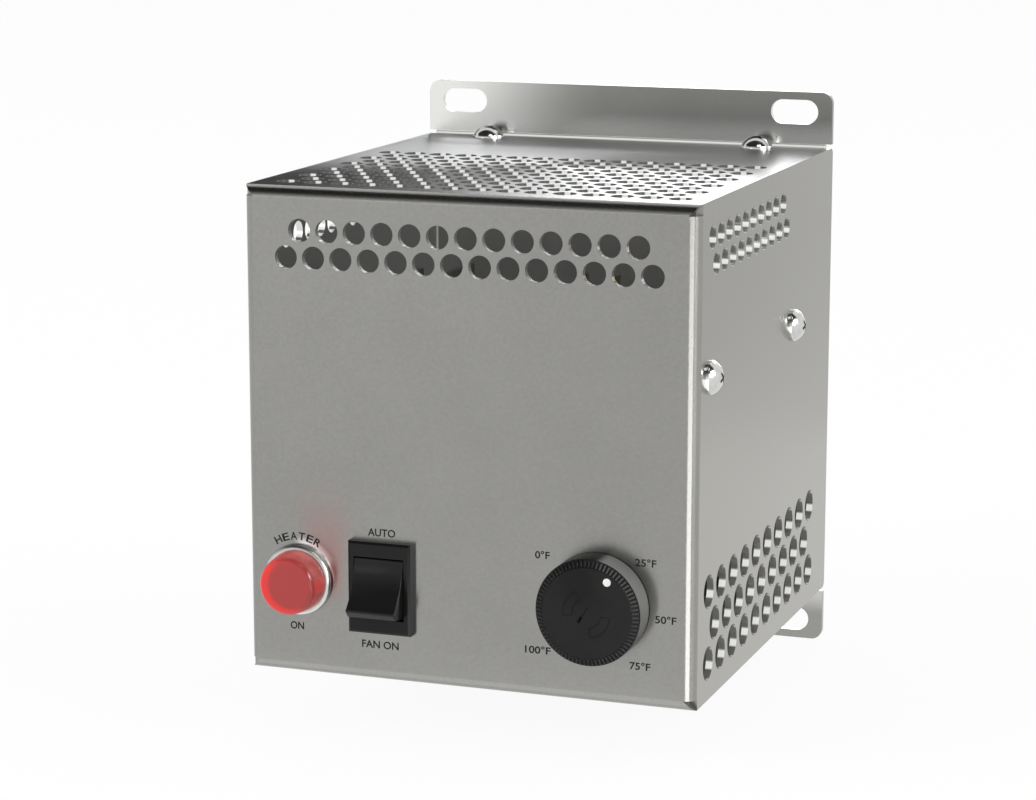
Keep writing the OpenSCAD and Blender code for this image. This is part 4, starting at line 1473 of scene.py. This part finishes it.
@dataclass
class PanelLettering:
    """Printed dial figures and control names on the front panel."""

    front: float = -DEPTH
    film: float = 0.03
    weight: float = 0.016
    cap: float = 1.72
    lift: float = 0.26
    lamp: Pair = (-39.4, -32.5)
    arc_r: float = 9.6
    arc_half: float = 29.0
    arc_word: str = "HEATER"
    arc_letter_w: float = 1.55
    labels: tuple[tuple[str, float, float, float], ...] = (
        ("ON", -39.8, -43.4, 3.2),
        ("AUTO", -19.6, -20.85, 6.4),
        ("FAN ON", -20.1, -46.0, 8.6),
        ("0°F", 17.3, -22.6, 3.3),
        ("25°F", 40.3, -22.4, 4.7),
        ("50°F", 44.8, -34.4, 4.65),
        ("75°F", 39.2, -45.0, 4.6),
        ("100°F", 16.3, -43.6, 5.8),
    )
    pieces: list[bpy.types.Mesh] = field(default_factory=list)

    def word(self, text: str, width: float, place: Matrix) -> None:
        """Sets a word as a thin film of ink.

        Args:
            text: The word.
            width: Its width in mm.
            place: Its middle, with +Z towards the front.
        """
        curve = bpy.data.curves.new("ink", "FONT")
        curve.body = text
        half = 0.5
        curve.extrude = half
        curve.offset = self.weight
        curve.resolution_u = 4
        draft = add_piece("ink_draft", curve)
        mesh = evaluated(draft)
        bpy.data.objects.remove(draft)
        xs = [v.co.x for v in mesh.vertices]
        ys = [v.co.y for v in mesh.vertices]
        middle = Vector(((min(xs) + max(xs)) / 2, (min(ys) + max(ys)) / 2, -half))
        wide = width / (max(xs) - min(xs))
        tall = self.cap / (max(ys) - min(ys))
        scale = Matrix.Diagonal((wide * MM, tall * MM, self.film * MM, 1.0))
        mesh.transform(place @ scale @ Matrix.Translation(-middle))
        self.pieces.append(mesh)

    def build(self, wardrobe: Wardrobe) -> None:
        """Builds and dresses all the lettering as one film."""
        for text, x, z, width in self.labels:
            self.word(text, width, front_place(x, self.front, z + self.lift))
        count = len(self.arc_word)
        for i, letter in enumerate(self.arc_word):
            lean = self.arc_half * (1 - 2 * i / (count - 1))
            rise = Matrix.Rotation(math.radians(lean), 4, "Z") @ Matrix.Translation((0, self.arc_r * MM, 0))
            self.word(letter, self.arc_letter_w, front_place(self.lamp[0], self.front, self.lamp[1]) @ rise)
        joined = bmesh.new()
        for mesh in self.pieces:
            joined.from_mesh(mesh)
            bpy.data.meshes.remove(mesh)
        whole = bpy.data.meshes.new("panel_lettering")
        joined.to_mesh(whole)
        joined.free()
        wardrobe.finish(add_piece("panel_lettering", whole), Body.CASE, "moulded_black", look=wardrobe.ink)


# Studio


@dataclass
class Softbox:
    """A flat area light that stays out of reflections.

    Attributes:
        name: Its name.
        place: Its centre in metres.
        aim: The point that it faces.
        size: Width and height in metres.
        power: Watts.
    """

    name: str
    place: Point
    aim: Point
    size: Pair
    power: float

    def build(self) -> None:
        """Adds the light."""
        light = bpy.data.lights.new(self.name, "AREA")
        light.shape = "RECTANGLE"
        light.size, light.size_y = self.size
        light.energy = self.power
        lamp = bpy.data.objects.new(self.name, light)
        lamp.location = self.place
        lamp.rotation_euler = (Vector(self.aim) - Vector(self.place)).to_track_quat("-Z", "Y").to_euler()
        lamp.visible_camera = False
        lamp.visible_glossy = False
        bpy.context.scene.collection.objects.link(lamp)


def patch(heading: Pair, rise: Pair, reach: float = REAR_REACH) -> tuple[Point, ...]:
    """Corners of a card that fills a window of directions around the part.

    Args:
        heading: Directions in degrees, 0 to the front and 90 to the right.
        rise: Elevations in degrees.
        reach: Distance in metres.

    Returns:
        The four corners.
    """
    corners = []
    for h, e in ((0, 0), (1, 0), (1, 1), (0, 1)):
        turn, lift = math.radians(heading[h]), math.radians(rise[e])
        flat = reach * math.cos(lift)
        corners.append((flat * math.sin(turn), -flat * math.cos(turn) + MIDDLE_Y, reach * math.sin(lift)))
    return tuple(corners)


def low_patch(*corners: Pair) -> tuple[Point, ...]:
    """Corners of a card that lies just over the floor.

    Args:
        corners: X and Y of each corner in metres.

    Returns:
        The corners as points.
    """
    return tuple((x, y, CARD_Z) for x, y in corners)


@dataclass
class Card:
    """A dark or bright card that shows only in reflections.

    Attributes:
        name: Its name.
        corners: Its corners in metres.
        level: How bright it is.
    """

    name: str
    corners: tuple[Point, ...]
    level: float

    def build(self) -> None:
        """Adds the card."""
        mesh = bpy.data.meshes.new(self.name)
        mesh.from_pydata(self.corners, [], [tuple(range(len(self.corners)))])
        card = add_piece(self.name, mesh)
        shade = bpy.data.materials.new(self.name)
        shade.use_nodes = True
        nodes = shade.node_tree.nodes
        nodes.clear()
        glow = nodes.new("ShaderNodeEmission")
        glow.inputs["Strength"].default_value = self.level
        out = nodes.new("ShaderNodeOutputMaterial")
        shade.node_tree.links.new(glow.outputs[0], out.inputs[0])
        mesh.materials.append(shade)
        card.visible_camera = False
        card.visible_diffuse = False
        card.visible_shadow = False


def front_shades(bands: Iterable[tuple[float, float, float]]) -> tuple[Card, ...]:
    """Cards that darken the sky in front of the part, band by band.

    Args:
        bands: Lowest and highest elevation in degrees and the level of each band.

    Returns:
        The cards, three to a band.
    """
    sides = {"left": (-80, -30), "middle": (-30, 20), "right": (20, 62)}
    return tuple(
        Card(f"shade_{name}_{low:.0f}", patch(heading, (low, high), FRONT_REACH), level)
        for low, high, level in bands
        for name, heading in sides.items()
    )


@dataclass
class Studio:
    """Camera, pale floor and soft light."""

    eye: Point = (221.72, -697.43, 133.75)
    right: Point = (0.941202, 0.337844, 0.000433)
    down: Point = (0.065930, -0.182418, -0.981008)
    forward: Point = (-0.331349, 0.923355, -0.193966)
    focal_px: float = 3003.24
    frame_px: float = 1036.0
    sensor: float = 36.0
    floor_z: float = -67.2
    floor_half: float = 6.0
    floor_shadow: float = 0.07
    paper: Colour = (0.86, 0.86, 0.86)
    sky: float = 0.75
    lamps: tuple[Softbox, ...] = (
        Softbox("left_fill", (-1.5, -1.2, 1.0), (0, MIDDLE_Y, 0), (1.2, 1.2), 24.0),
        Softbox("right_fill", (1.7, 0.1, 1.2), (0, MIDDLE_Y, 0), (1.2, 1.2), 14.0),
    )
    cards: tuple[Card, ...] = (
        Card("overhead_card", ((-1.7, -1.2, 1.3), (1.7, -1.2, 1.3), (1.7, 0.14, 1.3), (-1.7, 0.14, 1.3)), 0.03),
        *front_shades(((35, 50, 0.03), (24, 35, 0.22), (12, 24, 0.55))),
        Card("front_soft", patch((-34, -18.8), (3, 11), 1.5), 1.9),
        Card("right_light", patch((66, 84), (14, 33), FRONT_REACH), 22.0),
        Card("high_light", patch((25, 60), (47, 64), 1.5), 4.0),
        Card("edge_light", patch((50, 68), (6, 22), 1.45), 9.0),
        Card("rear_left_card", patch((-158.4, -105), (0.5, 26.5)), 0.02),
        Card("rear_middle_card", patch((-158.4, -160.6), (0.5, 24)), 1.1),
        Card("rear_next_card", patch((-160.6, -162), (0.5, 24)), 2.6),
        Card("rear_right_card", patch((-162, -184), (0.5, 24)), 4.8),
        Card("rear_strip_left", patch((-120, -157.4), (27, 36)), 1.2),
        Card("rear_strip_right", patch((-157.4, -205), (27, 36)), 5.5),
        Card("front_card", low_patch((0.052, -0.116), (0.056, -0.116), (0.82, -0.9), (0.06, -0.9)), 3.6),
        Card("near_card", low_patch((-0.09, -0.1145), (0.05, -0.1145), (0.05, -0.15), (-0.09, -0.15)), 1.3),
        Card("side_card", low_patch((0.05, 0.3), (0.27, 0.13), (1.1, 1.7), (0.1, 2.0)), 0.84),
    )

    def camera(self) -> None:
        """Sets the photograph's camera."""
        data = bpy.data.cameras.new("camera")
        data.sensor_width = self.sensor
        data.sensor_fit = "HORIZONTAL"
        data.lens = self.focal_px * self.sensor / self.frame_px
        data.clip_start = 0.01
        camera = bpy.data.objects.new("camera", data)
        right, up, back = Vector(self.right), -Vector(self.down), -Vector(self.forward)
        turn = Matrix((right, up, back)).transposed().to_4x4()
        camera.matrix_world = Matrix.Translation(Vector(self.eye) * MM) @ turn
        bpy.context.scene.collection.objects.link(camera)
        bpy.context.scene.camera = camera

    @staticmethod
    def seen(tree: bpy.types.NodeTree) -> bpy.types.NodeSocket:
        """1 for rays that show the background: from the camera, in a mirror or through glass.

        Args:
            tree: The node tree.

        Returns:
            The socket.
        """
        path = tree.nodes.new("ShaderNodeLightPath")
        total = path.outputs["Is Camera Ray"]
        for name in ("Is Glossy Ray", "Is Transmission Ray"):
            either = tree.nodes.new("ShaderNodeMath")
            either.operation = "MAXIMUM"
            tree.links.new(total, either.inputs[0])
            tree.links.new(path.outputs[name], either.inputs[1])
            total = either.outputs[0]
        return total

    def world(self) -> None:
        """A white surround that lights the part softly."""
        world = bpy.data.worlds.new("studio")
        world.use_nodes = True
        tree = world.node_tree
        tree.nodes.clear()
        soft = tree.nodes.new("ShaderNodeBackground")
        soft.inputs["Strength"].default_value = self.sky
        white = tree.nodes.new("ShaderNodeBackground")
        for sky in (soft, white):
            sky.inputs["Color"].default_value = (1.0, 1.0, 1.0, 1.0)
        blend = tree.nodes.new("ShaderNodeMixShader")
        out = tree.nodes.new("ShaderNodeOutputWorld")
        tree.links.new(self.seen(tree), blend.inputs[0])
        tree.links.new(soft.outputs[0], blend.inputs[1])
        tree.links.new(white.outputs[0], blend.inputs[2])
        tree.links.new(blend.outputs[0], out.inputs[0])
        bpy.context.scene.world = world

    def floor(self) -> None:
        """A pale floor that keeps a faint shadow."""
        reach = self.floor_half
        mesh = bpy.data.meshes.new("floor")
        corners = [(-reach, -reach), (reach, -reach), (reach, reach), (-reach, reach)]
        mesh.from_pydata([(x, y, self.floor_z * MM) for x, y in corners], [], [(0, 1, 2, 3)])
        floor = add_piece("floor", mesh)
        shade = bpy.data.materials.new("floor_paper")
        shade.use_nodes = True
        tree = shade.node_tree
        tree.nodes.clear()
        paper = tree.nodes.new("ShaderNodeBsdfDiffuse")
        paper.inputs["Color"].default_value = (*self.paper, 1.0)
        white = tree.nodes.new("ShaderNodeEmission")
        share = tree.nodes.new("ShaderNodeMath")
        share.operation = "MULTIPLY"
        share.inputs[1].default_value = 1.0 - self.floor_shadow
        blend = tree.nodes.new("ShaderNodeMixShader")
        out = tree.nodes.new("ShaderNodeOutputMaterial")
        tree.links.new(self.seen(tree), share.inputs[0])
        tree.links.new(share.outputs[0], blend.inputs[0])
        tree.links.new(paper.outputs[0], blend.inputs[1])
        tree.links.new(white.outputs[0], blend.inputs[2])
        tree.links.new(blend.outputs[0], out.inputs[0])
        mesh.materials.append(shade)

    def build(self) -> None:
        """Sets up the whole studio."""
        bpy.context.scene.view_settings.view_transform = "Standard"
        self.camera()
        self.world()
        self.floor()
        for item in (*self.lamps, *self.cards):
            item.build()


def main() -> None:
    """Builds the studio and dresses the heater."""
    logging.basicConfig(level=logging.INFO, format="%(name)s: %(message)s")
    Studio().build()
    wardrobe = Wardrobe()
    wardrobe.dress_nodes()
    for part in (CaseScrews(), Dial(), RockerSwitch(), PilotLens(), PanelLettering()):
        part.build(wardrobe)


if __name__ == "__main__":
    main()
